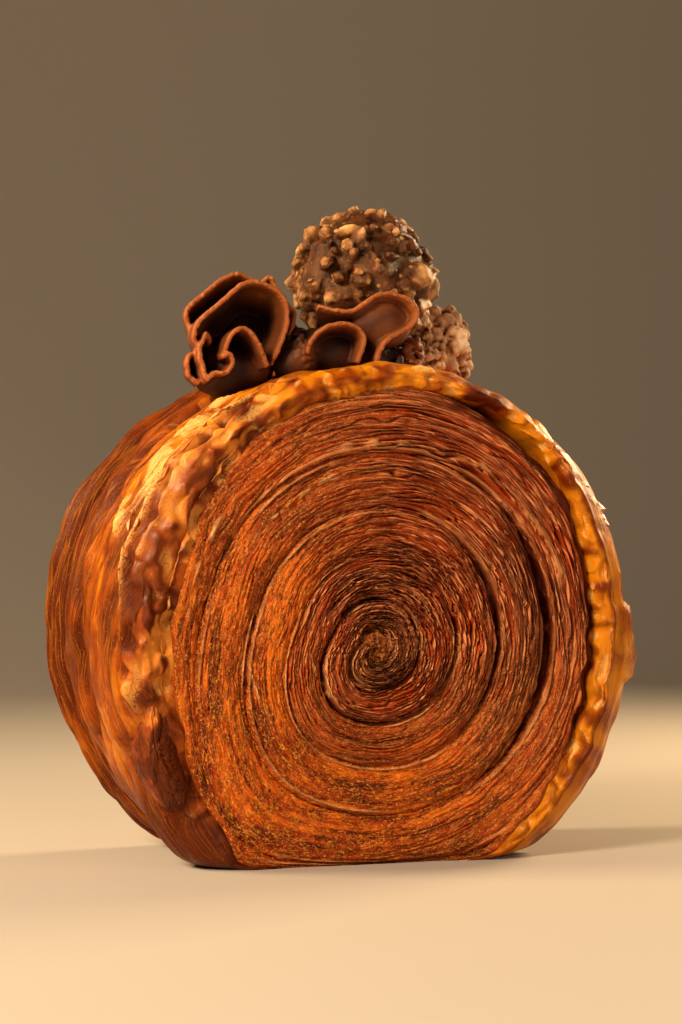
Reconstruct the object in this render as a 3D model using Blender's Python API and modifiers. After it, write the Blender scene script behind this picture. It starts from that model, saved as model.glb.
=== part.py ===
"""Spiral croissant: a wheel of rolled, laminated dough standing on its edge, with piped chocolate cream
and a nut-coated chocolate ball on top.

Metres, +Z up. The wheel's axis runs along Y and its show face looks along -Y. The wheel stands on a small
flat that its own weight pressed at z = 0. Angles round the wheel are degrees, clockwise from the top, as
seen on the show face.
"""

import math
import random

import bmesh
import bpy
from mathutils import Matrix, Vector, noise

MM = 0.001

# Wheel
WHEEL_HEIGHT = 94.5 * MM
WHEEL_DEPTH = 48 * MM
MEAN_RADIUS = 50.6 * MM
SAG = 2.8 * MM  # the wheel is this much fuller below its middle than above
HEEL_ANGLE, HEEL_WIDTH, HEEL_BULGE = 219, 14, 6.3 * MM  # fuller corner under the tail
TOE_ANGLE, TOE_WIDTH, TOE_BULGE = 138, 15, 1.5 * MM
SETTLE = 3 * MM  # dough this close to the ground is squeezed
SETTLE_SHARE = 0.15
CORE_X, CORE_Z = -2.5 * MM, 40.8 * MM  # eye of the spiral

# Spiral: turns are counted outwards, and the roll steps in by one turn while it passes the tail
TURN_START, TURN_GROWTH, TURN_WIDENING = 0.053, 0.105, 0.0135
STEP_FROM, STEP_TO, STEADY_SHARE = 205, 287, 0.12
FACE_EDGE, FACE_EDGE_TOP, FACE_EDGE_SPREAD = 0.82, 0.085, 40
FACE_EDGE_LOW, NO_LIP_FROM, NO_LIP_TO, LIP_FADE = 0.985, 156, 206, 20  # the skin has no lip where it stands
TURN_ROWS = ((0.0, -1.5 * MM), (0.2, 0.5 * MM), (0.5, 1.1 * MM), (0.8, 0.6 * MM))
FIRST_TURN, LAST_TURN = -1, 5
EYE = 0.03  # nothing is drawn closer to the eye than this share
FACE_SETBACK = 1.4 * MM
RELIEF_FADE = 0.05

# Rim, front to back: share of the lip's width, then height over the outline, then place along the axis
LIP_ROWS = ((0.0, -21.6 * MM), (0.22, -23.4 * MM), (0.55, -24.0 * MM), (0.85, -22.8 * MM))
# The lips swell to the sides by the first height; the folds open by the second, widest on the left.
RIM_ROWS = (
    (1.0 * MM, 0.4 * MM, -20.0 * MM),
    (2.0 * MM, 1.2 * MM, -16.0 * MM),
    (1.2 * MM, 0.6 * MM, -12.0 * MM),
    (0.6 * MM, 1.8 * MM, -6.0 * MM),
    (0.6 * MM, 2.6 * MM, 0.6 * MM),
    (0.6 * MM, 1.2 * MM, 2.4 * MM),
    (0.6 * MM, 3.8 * MM, 5.4 * MM),
    (0.6 * MM, 4.2 * MM, 11.4 * MM),
    (0.0 * MM, -2.4 * MM, 14.4 * MM),
    (0.4 * MM, 3.6 * MM, 16.6 * MM),
    (0.8 * MM, 6.2 * MM, 19.6 * MM),
    (0.4 * MM, 4.0 * MM, 22.4 * MM),
)
BACK_LIP_ROWS = ((0.85, 23.6 * MM), (0.5, 24.0 * MM), (0.2, 23.4 * MM), (0.0, 21.6 * MM))
RIDGE_ANGLE, RIDGE_SPREAD, RIDGE_ELSEWHERE = 278, 42, 0.3
HEEL_FRONT, HEEL_BACK = -16 * MM, 12 * MM  # the heel fades out between these places
BLISTER, BLISTER_SIZE = 0.5 * MM, 7 * MM
COLUMNS = 66
COARSE_COLUMNS = 45

# Burnt tail end of the roll, which lies on the turn below it
TAIL_ANGLE, TAIL_RADIUS, TAIL_Y = 242, 52.6 * MM, -18.6 * MM
TAIL_LENGTH, TAIL_WIDTH, TAIL_HEIGHT = 24 * MM, 12.5 * MM, 13 * MM
BAND_FROM, BAND_TO, BAND_LIFT = 244, 325, 1.6 * MM  # the last turn's skin stands proud before its end

# Toppings. Folds of cream are given by their free edges, as (x, y, z) in millimetres.
GAP = 0.5 * MM
CREAM_WALL, PETAL_ROWS, PETAL_CLOSING = 1.5 * MM, 5, 78
ROSETTE_ROOT = (-19, 5, 96)
ROSETTE_RIMS = (
    ((-34.3, -11, 98.5), (-35.8, -12, 100), (-34.9, -13, 103), (-31.5, -13, 105.7), (-28.3, -13, 108.2),
     (-26.3, -13, 110.3), (-22.8, -13, 110.9), (-19, -13, 109.2), (-17, -13, 106), (-17.3, -13, 102.3),
     (-19, -13, 98), (-20.3, -12, 95)),
    ((-30, -13, 96.5), (-29.6, -14, 98.3), (-29, -15, 100.2), (-27, -15, 101.8), (-25.2, -15, 101),
     (-23.4, -15, 98.5), (-21.4, -14, 94.5)),
    ((-31.5, -10, 99), (-33, -12, 100.8), (-34.4, -12.5, 98), (-34.4, -13, 95.5), (-33.3, -13.5, 92)),
    ((-33.4, -13.5, 91.6), (-32, -14, 93.2), (-29.8, -14.5, 93), (-28.4, -14.5, 94.8), (-29, -14.5, 96.8)),
    ((-33.8, -9, 97), (-35.4, -9.5, 96.8), (-36.1, -9.5, 95.2), (-35.6, -9.5, 92.8), (-33.8, -10, 91.2)),
    ((-34.6, -7, 101.5), (-35.8, -7, 104.8), (-33.6, -7, 107.4), (-30.9, -7, 109.4), (-28.8, -7, 111.4),
     (-25.6, -7, 112.9), (-22.4, -7, 111.8), (-20.5, -8, 109.5)),
    ((-21, -8, 110.8), (-19.4, -9, 112.4), (-17.9, -9, 109.6), (-16, -9, 107.3), (-14.4, -9, 105.6),
     (-15, -9, 102.5), (-16.6, -9, 99), (-17.3, -9, 95)),
)
ROSETTE_MOUNDS = (((-25, -1, 95), (8, 9, 6.5)), ((-21, 2, 100), (5.5, 6, 8)))
RUFFLE_ROOT = (-1, -5, 97)
RUFFLE_RIMS = (
    ((-11, -13, 106.5), (-8.5, -14.5, 105.6), (-5, -15.5, 105.2), (-2.5, -16, 106.8), (0, -16, 108.7),
     (3.5, -16, 109.2), (6.8, -16, 108), (8.6, -16, 105.4), (7.2, -16, 103), (4.2, -16.5, 101.4),
     (1.6, -17, 100.2), (0.2, -17, 98), (-0.4, -16.5, 95.5)),
    ((-14.5, -15, 94.5), (-13.6, -16.2, 98), (-12.8, -16.8, 101), (-10.8, -17.3, 102.5), (-7.5, -17.5, 103),
     (-4.4, -17.5, 102.4), (-3, -17.5, 100.6), (-3.2, -17.3, 98.6), (-4.2, -17, 95.5)),
)
RUFFLE_MOUNDS = (
    ((1, -3, 96), (12, 10, 5)), ((-6, -6, 98), (8, 7, 5)), ((1.5, -8.5, 101), (8, 5, 5.5)),
    ((7, -6, 98), (6, 7, 5)),
)
BALL_CENTRE = Vector((3.4, -0.5, 113.4)) * MM
BALL_RADIUS = 13.6 * MM
BALL_LUMPS = 0.8 * MM
NUT_COUNT, NUT_SIZE, NUT_LOWEST = 34, 2.4 * MM, -0.3
LUMP_CENTRE, LUMP_SIZE = (20.6, 2, 100.5), (6.2, 7, 8.6)
LUMP_ROUGHNESS = 1.8 * MM
SEED = 7


def clear_scene():
    for thing in list(bpy.data.objects):
        bpy.data.objects.remove(thing, do_unlink=True)


def new_collection(name):
    collection = bpy.data.collections.new(name)
    bpy.context.scene.collection.children.link(collection)
    return collection


def material(name, colour, roughness):
    made = bpy.data.materials.new(name)
    made.use_nodes = True
    shader = made.node_tree.nodes["Principled BSDF"]
    shader.inputs["Base Color"].default_value = (*colour, 1)
    shader.inputs["Roughness"].default_value = roughness
    shader.inputs["Metallic"].default_value = 0
    return made


def object_from(name, shape, collection, finish=None):
    """A new object whose mesh is the bmesh shape, which is freed."""
    bmesh.ops.recalc_face_normals(shape, faces=shape.faces)
    mesh = bpy.data.meshes.new(name)
    shape.to_mesh(mesh)
    shape.free()
    mesh.shade_smooth()
    made = bpy.data.objects.new(name, mesh)
    collection.objects.link(made)
    if finish:
        mesh.materials.append(finish)
    return made


# ---------------------------------------------------------------- the wheel's own coordinates


def smooth(low, high, value):
    share = min(1, max(0, (value - low) / (high - low)))
    return share * share * (3 - 2 * share)


def hump(angle, centre, spread):
    """1 at centre, falling to 0 on both sides over a few times spread, round the circle."""
    away = (angle - centre + 180) % 360 - 180
    return math.exp(-((away / spread) ** 2) / 2)


def outline_radius(angle, y, share):
    """The outline's own radius at share 1. Further in, the turns take up less and less of its bulges."""
    heel = HEEL_BULGE * hump(angle, HEEL_ANGLE, HEEL_WIDTH) * smooth(HEEL_BACK, HEEL_FRONT, y)
    toe = TOE_BULGE * hump(angle, TOE_ANGLE, TOE_WIDTH)
    return MEAN_RADIUS - SAG * math.cos(math.radians(angle)) + (heel + toe) * share**4


def settled(z):
    """Height after the wheel's weight has pressed its lowest part flat."""
    if z >= SETTLE:
        return z
    squeezed = SETTLE * math.exp(z / SETTLE - 1)
    return max(0, squeezed * (1 + SETTLE_SHARE) - SETTLE * SETTLE_SHARE)


def wheel_point(share, angle, y, lift=0):
    """A point of the wheel: share of the way from the eye to the outline, and a lift outwards from it."""
    turn = math.radians(angle)
    reach = share * outline_radius(angle, y, share) + lift
    x = CORE_X * (1 - share) + reach * math.sin(turn)
    z = CORE_Z + (WHEEL_HEIGHT / 2 - CORE_Z) * share + reach * math.cos(turn)
    return Vector((x, y, settled(z)))


def winding(angle):
    """How much of a turn the roll has stepped inwards at this angle."""
    return STEADY_SHARE * angle / 360 + (1 - STEADY_SHARE) * smooth(STEP_FROM, STEP_TO, angle)


def turn_share(turn):
    """Where a turn lies, as a share of the way from the eye to the outline."""
    share = TURN_START + TURN_GROWTH * turn + TURN_WIDENING * turn * turn
    return share if share > EYE else 0


def face_edge(angle):
    """How far out the cut layers reach before the skin covers them."""
    edge = FACE_EDGE + FACE_EDGE_TOP * hump(angle, 0, FACE_EDGE_SPREAD)
    bare = smooth(NO_LIP_FROM - LIP_FADE, NO_LIP_FROM, angle)
    bare *= smooth(NO_LIP_TO + LIP_FADE, NO_LIP_TO, angle)
    return edge + (FACE_EDGE_LOW - edge) * bare


def blister(point, strength=1.0):
    return BLISTER * strength * noise.noise(point / BLISTER_SIZE)


# ---------------------------------------------------------------- the wheel


def face_rows(angle, side):
    """The rolled dough's cut edge from the eye outwards. Rows follow the spiral, so they step in by one
    turn in each circle. Rows that would lie past the face's edge or the eye are gathered there."""
    edge = face_edge(angle)
    level = WHEEL_DEPTH / 2 - FACE_SETBACK
    rows = []
    for turn in range(FIRST_TURN, LAST_TURN + 1):
        for place, relief in TURN_ROWS:
            share = min(edge, turn_share(turn + place - winding(angle)))
            fade = smooth(edge, edge - RELIEF_FADE, share) * smooth(0, RELIEF_FADE, share)
            depth = level * (1 - fade) + (level + relief) * fade
            depth += (-LIP_ROWS[0][1] - level) * smooth(edge - RELIEF_FADE, edge, share)
            rows.append(wheel_point(share, angle, side * depth))
    return rows


def lip_rows(rows, angle, side):
    """The smooth skin that curls over the face's edge."""
    edge = face_edge(angle)
    found = []
    for place, y in rows:
        share = edge + (1 - edge) * place
        point = wheel_point(share, angle, y)
        point.y += side * blister(point, place)
        found.append(point)
    return found


def band_lift(angle, y):
    """The last turn's skin, near the show face, up to where it ends."""
    along = smooth(BAND_FROM - 3, BAND_FROM + 3, angle) * smooth(BAND_TO + 25, BAND_TO - 25, angle)
    return BAND_LIFT * along * smooth(-8 * MM, -14 * MM, y)


def rim_rows(angle, swell):
    """The outside of the roll, with the folds that opened along it."""
    opened = RIDGE_ELSEWHERE + (1 - RIDGE_ELSEWHERE) * hump(angle, RIDGE_ANGLE, RIDGE_SPREAD)
    sideways = math.sin(math.radians(angle)) ** 2
    found = []
    for lip, fold, y in RIM_ROWS:
        bare = wheel_point(1, angle, y)
        lift = lip * sideways + fold * opened + band_lift(angle, y) + blister(bare) + swell
        found.append(wheel_point(1, angle, y, lift))
    return found


def wheel_ring(rows, columns, points):
    """Faces between neighbouring columns of points. Each column runs from the front eye to the back one."""
    shape = bmesh.new()
    grid = [[shape.verts.new(point) for point in column] for column in points]
    for a in range(columns):
        for b in range(rows - 1):
            shape.faces.new((grid[a][b], grid[a + 1][b], grid[a + 1][b + 1], grid[a][b + 1]))
    bmesh.ops.remove_doubles(shape, verts=shape.verts, dist=0.02 * MM)
    bmesh.ops.dissolve_degenerate(shape, dist=0.02 * MM, edges=shape.edges)
    bmesh.ops.triangulate(shape, faces=shape.faces)
    return shape


def wheel_shape():
    points = []
    for column in range(COLUMNS + 1):
        angle = 360 * column / COLUMNS
        rows = face_rows(angle, -1) + lip_rows(LIP_ROWS, angle, 1) + rim_rows(angle % 360, 0)
        rows += lip_rows(BACK_LIP_ROWS, angle, 1) + face_rows(angle, 1)[::-1]
        points.append(rows)
    return wheel_ring(len(points[0]), COLUMNS, points)


def wheel_cutter(collection):
    """The rim alone, a gap larger and with flat faces, which shapes the undersides of the toppings."""
    points = []
    for column in range(COARSE_COLUMNS + 1):
        angle = 360 * column / COARSE_COLUMNS
        rim = rim_rows(angle % 360, GAP)
        eye_front, eye_back = Vector((CORE_X, rim[0].y, CORE_Z)), Vector((CORE_X, rim[-1].y, CORE_Z))
        points.append([eye_front, *rim, eye_back])
    made = object_from("wheel_cutter", wheel_ring(len(points[0]), COARSE_COLUMNS, points), collection)
    as_helper(made)
    return made


def tail_shape():
    """The rounded end of the roll: an egg laid along the rim."""
    shape = bmesh.new()
    bmesh.ops.create_uvsphere(shape, u_segments=12, v_segments=8, radius=0.5)
    turn = math.radians(TAIL_ANGLE)
    outward = Vector((math.sin(turn), 0, math.cos(turn)))
    along = Vector((math.cos(turn), 0, -math.sin(turn)))
    centre = Vector((0, TAIL_Y, WHEEL_HEIGHT / 2)) + outward * TAIL_RADIUS
    for vert in shape.verts:
        slim = 1 - 0.25 * vert.co.z
        place = centre + along * vert.co.z * TAIL_LENGTH
        place += outward * vert.co.x * TAIL_HEIGHT * slim
        place.y += vert.co.y * TAIL_WIDTH * slim
        vert.co = place + outward * blister(place)
    return shape


# ---------------------------------------------------------------- joining and cutting


def as_helper(thing):
    thing.hide_render = True
    thing.display_type = "WIRE"


def boolean(target, operation, other=None, group=None):
    """A Boolean that is applied straight away."""
    modifier = target.modifiers.new(operation.lower(), "BOOLEAN")
    modifier.operation = operation
    modifier.solver = "EXACT"
    if group:
        modifier.operand_type = "COLLECTION"
        modifier.collection = group
    else:
        modifier.object = other
    graph = bpy.context.evaluated_depsgraph_get()
    mesh = bpy.data.meshes.new_from_object(target.evaluated_get(graph))
    target.modifiers.clear()
    target.data = mesh


def join_all(target, group):
    """Fuses every object of a collection into target, and removes them."""
    boolean(target, "UNION", group=group)
    for thing in list(group.objects):
        bpy.data.objects.remove(thing, do_unlink=True)
    bpy.data.collections.remove(group)


def ball_cutter(collection):
    shape = bmesh.new()
    bmesh.ops.create_icosphere(shape, subdivisions=3, radius=BALL_RADIUS + BALL_LUMPS + GAP)
    bmesh.ops.translate(shape, verts=shape.verts, vec=BALL_CENTRE)
    made = object_from("ball_cutter", shape, collection)
    as_helper(made)
    return made


# ---------------------------------------------------------------- piped cream


def petal(name, rim, root, collection):
    """A fold of piped cream: a thin cup whose free edge follows rim and whose wall closes in on root."""
    edge = [Vector(point) * MM for point in rim]
    centre = Vector(root) * MM
    shape = bmesh.new()
    rows = []
    for row in range(PETAL_ROWS):
        turn = math.radians(PETAL_CLOSING) * row / (PETAL_ROWS - 1)
        spread = Vector((math.cos(turn), 1 - math.sin(turn), math.cos(turn)))
        rows.append([shape.verts.new(centre + (point - centre) * spread) for point in edge])
    for near, far in zip(rows, rows[1:]):
        for a in range(len(edge) - 1):
            shape.faces.new((near[a], near[a + 1], far[a + 1], far[a]))
    made = object_from(name, shape, collection)
    wall = made.modifiers.new("wall", "SOLIDIFY")
    wall.thickness = CREAM_WALL
    wall.offset = 0
    mesh = bpy.data.meshes.new_from_object(made.evaluated_get(bpy.context.evaluated_depsgraph_get()))
    made.modifiers.clear()
    made.data = mesh


def mound(name, centre, size, collection, rings=10, roughness=0.6 * MM, finish=None):
    """A rough heap, centre and half sizes in millimetres."""
    shape = bmesh.new()
    bmesh.ops.create_uvsphere(shape, u_segments=2 * rings, v_segments=rings, radius=1)
    for vert in shape.verts:
        place = (Vector(centre) + vert.co * Vector(size)) * MM
        rough = noise.fractal(place / (4.5 * MM), 1.0, 2.0, 2) * roughness
        vert.co = place + vert.co.normalized() * rough
    return object_from(name, shape, collection, finish)


def dollop(name, mounds, root, rims, parts, cutters, finish):
    """Folds and mounds fused, then cut to sit on the wheel and against the ball."""
    body = mound(name, *mounds[0], parts, finish=finish)
    pieces = new_collection(name + "_pieces")
    for index, (centre, size) in enumerate(mounds[1:]):
        mound(f"{name}_mound_{index}", centre, size, pieces)
    for index, rim in enumerate(rims):
        petal(f"{name}_petal_{index}", rim, root, pieces)
    join_all(body, pieces)
    cut_to_fit(body, cutters)
    return body


def cut_to_fit(body, cutters):
    for cutter in cutters:
        boolean(body, "DIFFERENCE", other=cutter)
    keep_largest(body)


def keep_largest(thing):
    """Drops the scraps that a cut left loose."""
    shape = bmesh.new()
    shape.from_mesh(thing.data)
    bmesh.ops.remove_doubles(shape, verts=shape.verts, dist=0.01 * MM)
    bmesh.ops.dissolve_degenerate(shape, dist=0.01 * MM, edges=shape.edges)
    left, islands = set(shape.verts), []
    while left:
        stack, island = [next(iter(left))], set()
        while stack:
            vert = stack.pop()
            if vert in island:
                continue
            island.add(vert)
            stack.extend(edge.other_vert(vert) for edge in vert.link_edges)
        islands.append(island)
        left -= island
    islands.sort(key=len)
    bmesh.ops.delete(shape, geom=[vert for island in islands[:-1] for vert in island], context="VERTS")
    bmesh.ops.triangulate(shape, faces=shape.faces)
    shape.to_mesh(thing.data)
    shape.free()


# ---------------------------------------------------------------- the nut ball


def lumpy_ball():
    shape = bmesh.new()
    bmesh.ops.create_uvsphere(shape, u_segments=22, v_segments=14, radius=BALL_RADIUS)
    for vert in shape.verts:
        vert.co += vert.co.normalized() * BALL_LUMPS * noise.noise(vert.co / (5 * MM))
    bmesh.ops.translate(shape, verts=shape.verts, vec=BALL_CENTRE)
    return shape


def nut_directions(count):
    """Evenly spread directions, over the whole ball above the cream."""
    golden = math.pi * (3 - math.sqrt(5))
    for index in range(count):
        height = NUT_LOWEST + (1 - NUT_LOWEST) * (index + 0.5) / count
        ring = math.sqrt(1 - height * height)
        yield Vector((ring * math.cos(golden * index), ring * math.sin(golden * index), height))


def nut_ball(parts, finish):
    ball = object_from("nut_ball", lumpy_ball(), parts, finish)
    nuts = new_collection("nuts")
    draw = random.Random(SEED)
    for index, direction in enumerate(nut_directions(NUT_COUNT)):
        shape = bmesh.new()
        bmesh.ops.create_icosphere(shape, subdivisions=1, radius=NUT_SIZE)
        size = draw.uniform(0.7, 1.3)
        stretch = Matrix.Diagonal((size, size * draw.uniform(0.6, 1), size * 0.8, 1))
        spin = Matrix.Rotation(draw.uniform(0, math.tau), 4, direction)
        aim = direction.to_track_quat("Z", "Y").to_matrix().to_4x4()
        place = Matrix.Translation(BALL_CENTRE + direction * (BALL_RADIUS + 0.2 * MM))
        bmesh.ops.transform(shape, verts=shape.verts, matrix=place @ spin @ aim @ stretch)
        object_from(f"nut_{index}", shape, nuts)
    join_all(ball, nuts)
    keep_largest(ball)
    return ball


# ---------------------------------------------------------------- the whole


def main():
    clear_scene()
    parts = new_collection("spiral_croissant")
    helpers = new_collection("cutters")
    crust = material("baked_crust", (0.55, 0.24, 0.07), 0.45)
    ganache = material("milk_chocolate_cream", (0.22, 0.09, 0.045), 0.5)
    coating = material("nut_chocolate", (0.24, 0.12, 0.06), 0.4)

    wheel = object_from("spiral_roll", wheel_shape(), parts, crust)
    tail = new_collection("tail")
    object_from("tail_end", tail_shape(), tail)
    join_all(wheel, tail)
    keep_largest(wheel)

    cutters = [wheel_cutter(helpers), ball_cutter(helpers)]
    dollop("cream_rosette", ROSETTE_MOUNDS, ROSETTE_ROOT, ROSETTE_RIMS, parts, cutters, ganache)
    dollop("cream_ruffle", RUFFLE_MOUNDS, RUFFLE_ROOT, RUFFLE_RIMS, parts, cutters, ganache)
    lump = mound("cream_crumble", LUMP_CENTRE, LUMP_SIZE, parts, 11, LUMP_ROUGHNESS, ganache)
    cut_to_fit(lump, cutters)
    nut_ball(parts, coating)

    for cutter in cutters:
        bpy.data.objects.remove(cutter, do_unlink=True)


main()
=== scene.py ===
# %% [markdown]
# # A spiral croissant with chocolate cream and a nut ball
# A long strip of laminated dough (thin sheets of dough with butter between them) is rolled up, stood in a ring
# and baked. The cut edges of the sheets open on both faces, the outside browns into a glossy skin, and the
# strip's end bakes hard against the side. Cream is piped on top, a nut-coated chocolate ball is pressed into
# it, and a rough lump of cream sits beside the ball.
#
# The frame is loaded first: it holds the plain solids that everything here is fitted to.

# %% Load the frame
import math
import random
from itertools import product

import bpy
import numpy as np
from mathutils import Matrix, Vector


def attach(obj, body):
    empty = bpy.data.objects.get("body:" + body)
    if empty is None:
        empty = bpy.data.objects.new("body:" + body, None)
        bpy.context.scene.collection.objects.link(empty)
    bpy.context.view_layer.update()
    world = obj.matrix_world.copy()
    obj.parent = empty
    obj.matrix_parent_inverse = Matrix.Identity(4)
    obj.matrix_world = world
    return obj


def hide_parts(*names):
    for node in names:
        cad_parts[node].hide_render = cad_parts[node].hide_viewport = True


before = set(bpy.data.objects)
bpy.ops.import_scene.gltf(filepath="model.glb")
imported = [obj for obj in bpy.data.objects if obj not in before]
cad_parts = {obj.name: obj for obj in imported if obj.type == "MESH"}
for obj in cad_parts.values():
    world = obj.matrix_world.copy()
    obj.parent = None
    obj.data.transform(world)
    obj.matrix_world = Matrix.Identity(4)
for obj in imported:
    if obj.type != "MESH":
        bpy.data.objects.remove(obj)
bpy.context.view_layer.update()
MM = 0.001

# %% [markdown]
# ## The camera and the light
# The camera stands low, a little left of the show face, so that the rolled face and the side both show. A long
# lens keeps the round face round. Soft warm lights come from behind on both sides, because baked skin shows its
# blisters only when light grazes it. The key light comes from the front left, and a weak one from the front
# right fills the shadows.

# %% Camera
YAW, TILT, LENS, SENSOR = 20, 1.34, 84.4, 36
DISTANCE, ASIDE, EYE_HEIGHT, FACE_Y = 456 * MM, 9.7 * MM, 56 * MM, -24 * MM
ahead = Vector((math.sin(math.radians(YAW)), math.cos(math.radians(YAW)), 0))
rightwards = Vector((ahead.y, -ahead.x, 0))
eye = Vector((0, FACE_Y, EYE_HEIGHT)) - ahead * DISTANCE - rightwards * ASIDE
camera = bpy.data.objects.new("camera", bpy.data.cameras.new("camera"))
camera.data.sensor_fit = "VERTICAL"
camera.data.sensor_height = SENSOR
camera.data.lens = LENS
camera.data.clip_start = 0.01
camera.location = eye
camera.rotation_euler = (math.radians(90 + TILT), 0, -math.radians(YAW))
bpy.context.scene.collection.objects.link(camera)
bpy.context.scene.camera = camera
print("camera at", [round(v, 3) for v in eye])

# %% Lights
def soft_light(name, place, size, power, colour, aim=(0, 0, 0.055)):
    """A square soft box that looks at aim."""
    light = bpy.data.lights.new(name, "AREA")
    light.size, light.energy, light.color = size, power, colour
    lamp = bpy.data.objects.new(name, light)
    lamp.location = place
    lamp.rotation_euler = (Vector(aim) - Vector(place)).to_track_quat("-Z", "Y").to_euler()
    bpy.context.scene.collection.objects.link(lamp)


soft_light("left_back", (-0.42, 0.10, 0.34), 0.14, 2.8, (1, 0.74, 0.44))
soft_light("right_back", (0.42, 0.16, 0.26), 0.16, 2.9, (1, 0.72, 0.40))
soft_light("key", (-0.44, -0.32, 0.36), 0.16, 4.4, (1, 0.80, 0.56))
soft_light("fill", (0.34, -0.56, 0.24), 0.30, 0.8, (1, 0.82, 0.62))
world = bpy.data.worlds.new("studio")
bpy.context.scene.world = world
world.use_nodes = True
world.node_tree.nodes["Background"].inputs["Color"].default_value = (1, 0.78, 0.56, 1)
world.node_tree.nodes["Background"].inputs["Strength"].default_value = 0.09
bpy.context.scene.view_settings.view_transform = "Standard"
print("four soft lights")

# %% [markdown]
# ## Small helpers
# Every piece starts as one of Blender's primitives. Dough that follows a rule, such as a strip wound into a
# spiral, is easier to place by numbers than by hand, so a grid primitive is added and each of its points is
# moved to where the rule says. The points are kept in NumPy arrays, because there are many.

# %% Helpers for pieces
def deselect():
    bpy.ops.object.select_all(action="DESELECT")


def activate(*pieces):
    """Selects only these pieces, and makes the first one active."""
    deselect()
    for piece in pieces:
        piece.select_set(True)
    bpy.context.view_layer.objects.active = pieces[0]


def named(name):
    """The object that an operator has just made or changed, under a new name."""
    piece = bpy.context.object
    piece.name = piece.data.name = name
    return piece


def icosphere(name, subdivisions):
    deselect()
    bpy.ops.mesh.primitive_ico_sphere_add(subdivisions=subdivisions, radius=1)
    return named(name)


def joined(name, pieces):
    activate(*pieces)
    bpy.ops.object.join()
    return named(name)


def change(piece, kind, **settings):
    """Applies a modifier to the active object."""
    modifier = piece.modifiers.new(kind, kind)
    for name, value in settings.items():
        setattr(modifier, name, value)
    bpy.ops.object.modifier_apply(modifier=modifier.name)


def read_vectors(piece, what="co"):
    flat = np.empty(len(piece.data.vertices) * 3)
    piece.data.vertices.foreach_get(what, flat)
    return flat.reshape(-1, 3)


def write_points(piece, points):
    piece.data.vertices.foreach_set("co", np.ascontiguousarray(points).ravel())
    piece.data.update()


def shape_grid(name, columns, rows, place):
    """A grid primitive whose points go where place(u, v) says, u and v running from 0 to 1. place also gives
    the numbers that the material reads. Edges that meet are sewn together."""
    deselect()
    bpy.ops.mesh.primitive_grid_add(x_subdivisions=columns, y_subdivisions=rows, size=1)
    piece = named(name)
    u, v, _ = (read_vectors(piece) + 0.5).T
    points, looks, trail = place(u, v)
    write_points(piece, np.stack(points, 1))
    store(piece, looks)
    lay_trail(piece, *trail)
    sew(piece)
    return piece


def store(piece, looks):
    """Keeps up to four numbers for each point in the attribute 'bake'."""
    colour = piece.data.attributes.new("bake", "FLOAT_COLOR", "POINT")
    values = np.ones((len(piece.data.vertices), 4))
    for channel, look in enumerate(looks):
        values[:, channel] = look
    colour.data.foreach_set("color", values.ravel())


def lay_trail(piece, along, across, kind=0):
    """Keeps where each point lies along and across the dough, in metres, in the attribute 'trail'. Its third
    number is 1 on loose sheets, or on smooth, puffed skin."""
    trail = piece.data.attributes.new("trail", "FLOAT_VECTOR", "POINT")
    values = np.zeros((len(piece.data.vertices), 3))
    values[:, 0], values[:, 1], values[:, 2] = along, across, kind
    trail.data.foreach_set("vector", values.ravel())


def sew(piece, distance=0.01 * MM):
    """Merges points that meet, points the faces outwards and shades them smooth."""
    activate(piece)
    bpy.ops.object.mode_set(mode="EDIT")
    bpy.ops.mesh.select_all(action="SELECT")
    bpy.ops.mesh.remove_doubles(threshold=distance)
    bpy.ops.mesh.normals_make_consistent(inside=False)
    bpy.ops.object.mode_set(mode="OBJECT")
    bpy.ops.object.shade_smooth()


def dress(node, slot, material, *pieces):
    """Gives pieces their material, hangs them from the root and hides the node of the frame that they stand for.
    """
    for piece in pieces:
        piece.data.materials.clear()
        piece.data.materials.append(material)
        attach(piece, "root")
        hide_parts(node)
        print(piece.name, "has", len(piece.data.polygons), "faces")


# %% Numbers that vary smoothly
def smooth(low, high, value):
    """0 up to low, 1 from high on, with a soft step between. With low above high it falls instead."""
    share = np.clip((value - low) / (high - low), 0, 1)
    return share * share * (3 - 2 * share)


def span(value, start, full, fading, end):
    """0 up to start, 1 from full to fading, and 0 again from end on."""
    return smooth(start, full, value) * smooth(end, fading, value)


def bell(value, centre, half):
    return np.exp(-(((value - centre) / half) ** 2))


def hump(angle, centre, spread):
    """1 at centre, falling to 0 on both sides, round the circle."""
    away = (angle - centre + 180) % 360 - 180
    return np.exp(-((away / spread) ** 2) / 2)


def scatter(*cells):
    """The same random value from -1 to 1 for the same whole numbers."""
    mixed = np.zeros(np.broadcast(*cells).shape, dtype=np.int64)
    for cell, stride in zip(cells, (73856093, 19349663, 83492791, 49979687)):
        mixed = mixed ^ (np.asarray(cell).astype(np.int64) * stride)
    mixed = ((mixed ^ (mixed >> 13)) * 1274126177) & 0xFFFFFFFF
    mixed = ((mixed ^ (mixed >> 16)) * 668265263) & 0xFFFFFFFF
    return mixed / 0x7FFFFFFF - 1


def rough(*place, seed=0):
    """Smooth random hills, about one for each unit of place, from -1 to 1."""
    place = np.broadcast_arrays(*place)
    corner = [np.floor(value) for value in place]
    inner = [(value - low) ** 2 * (3 - 2 * (value - low)) for value, low in zip(place, corner)]
    total = 0
    for step in product((0, 1), repeat=len(place)):
        weight = 1
        for side, share in zip(step, inner):
            weight = weight * (share if side else 1 - share)
        total = total + weight * scatter(*[low + side for low, side in zip(corner, step)], seed)
    return total


def wrinkles(*place, seed=0):
    """Rounded backs with sharp creases between them, from 0 in a crease to about 1."""
    return np.abs(rough(*place, seed=seed)) ** 0.75


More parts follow.
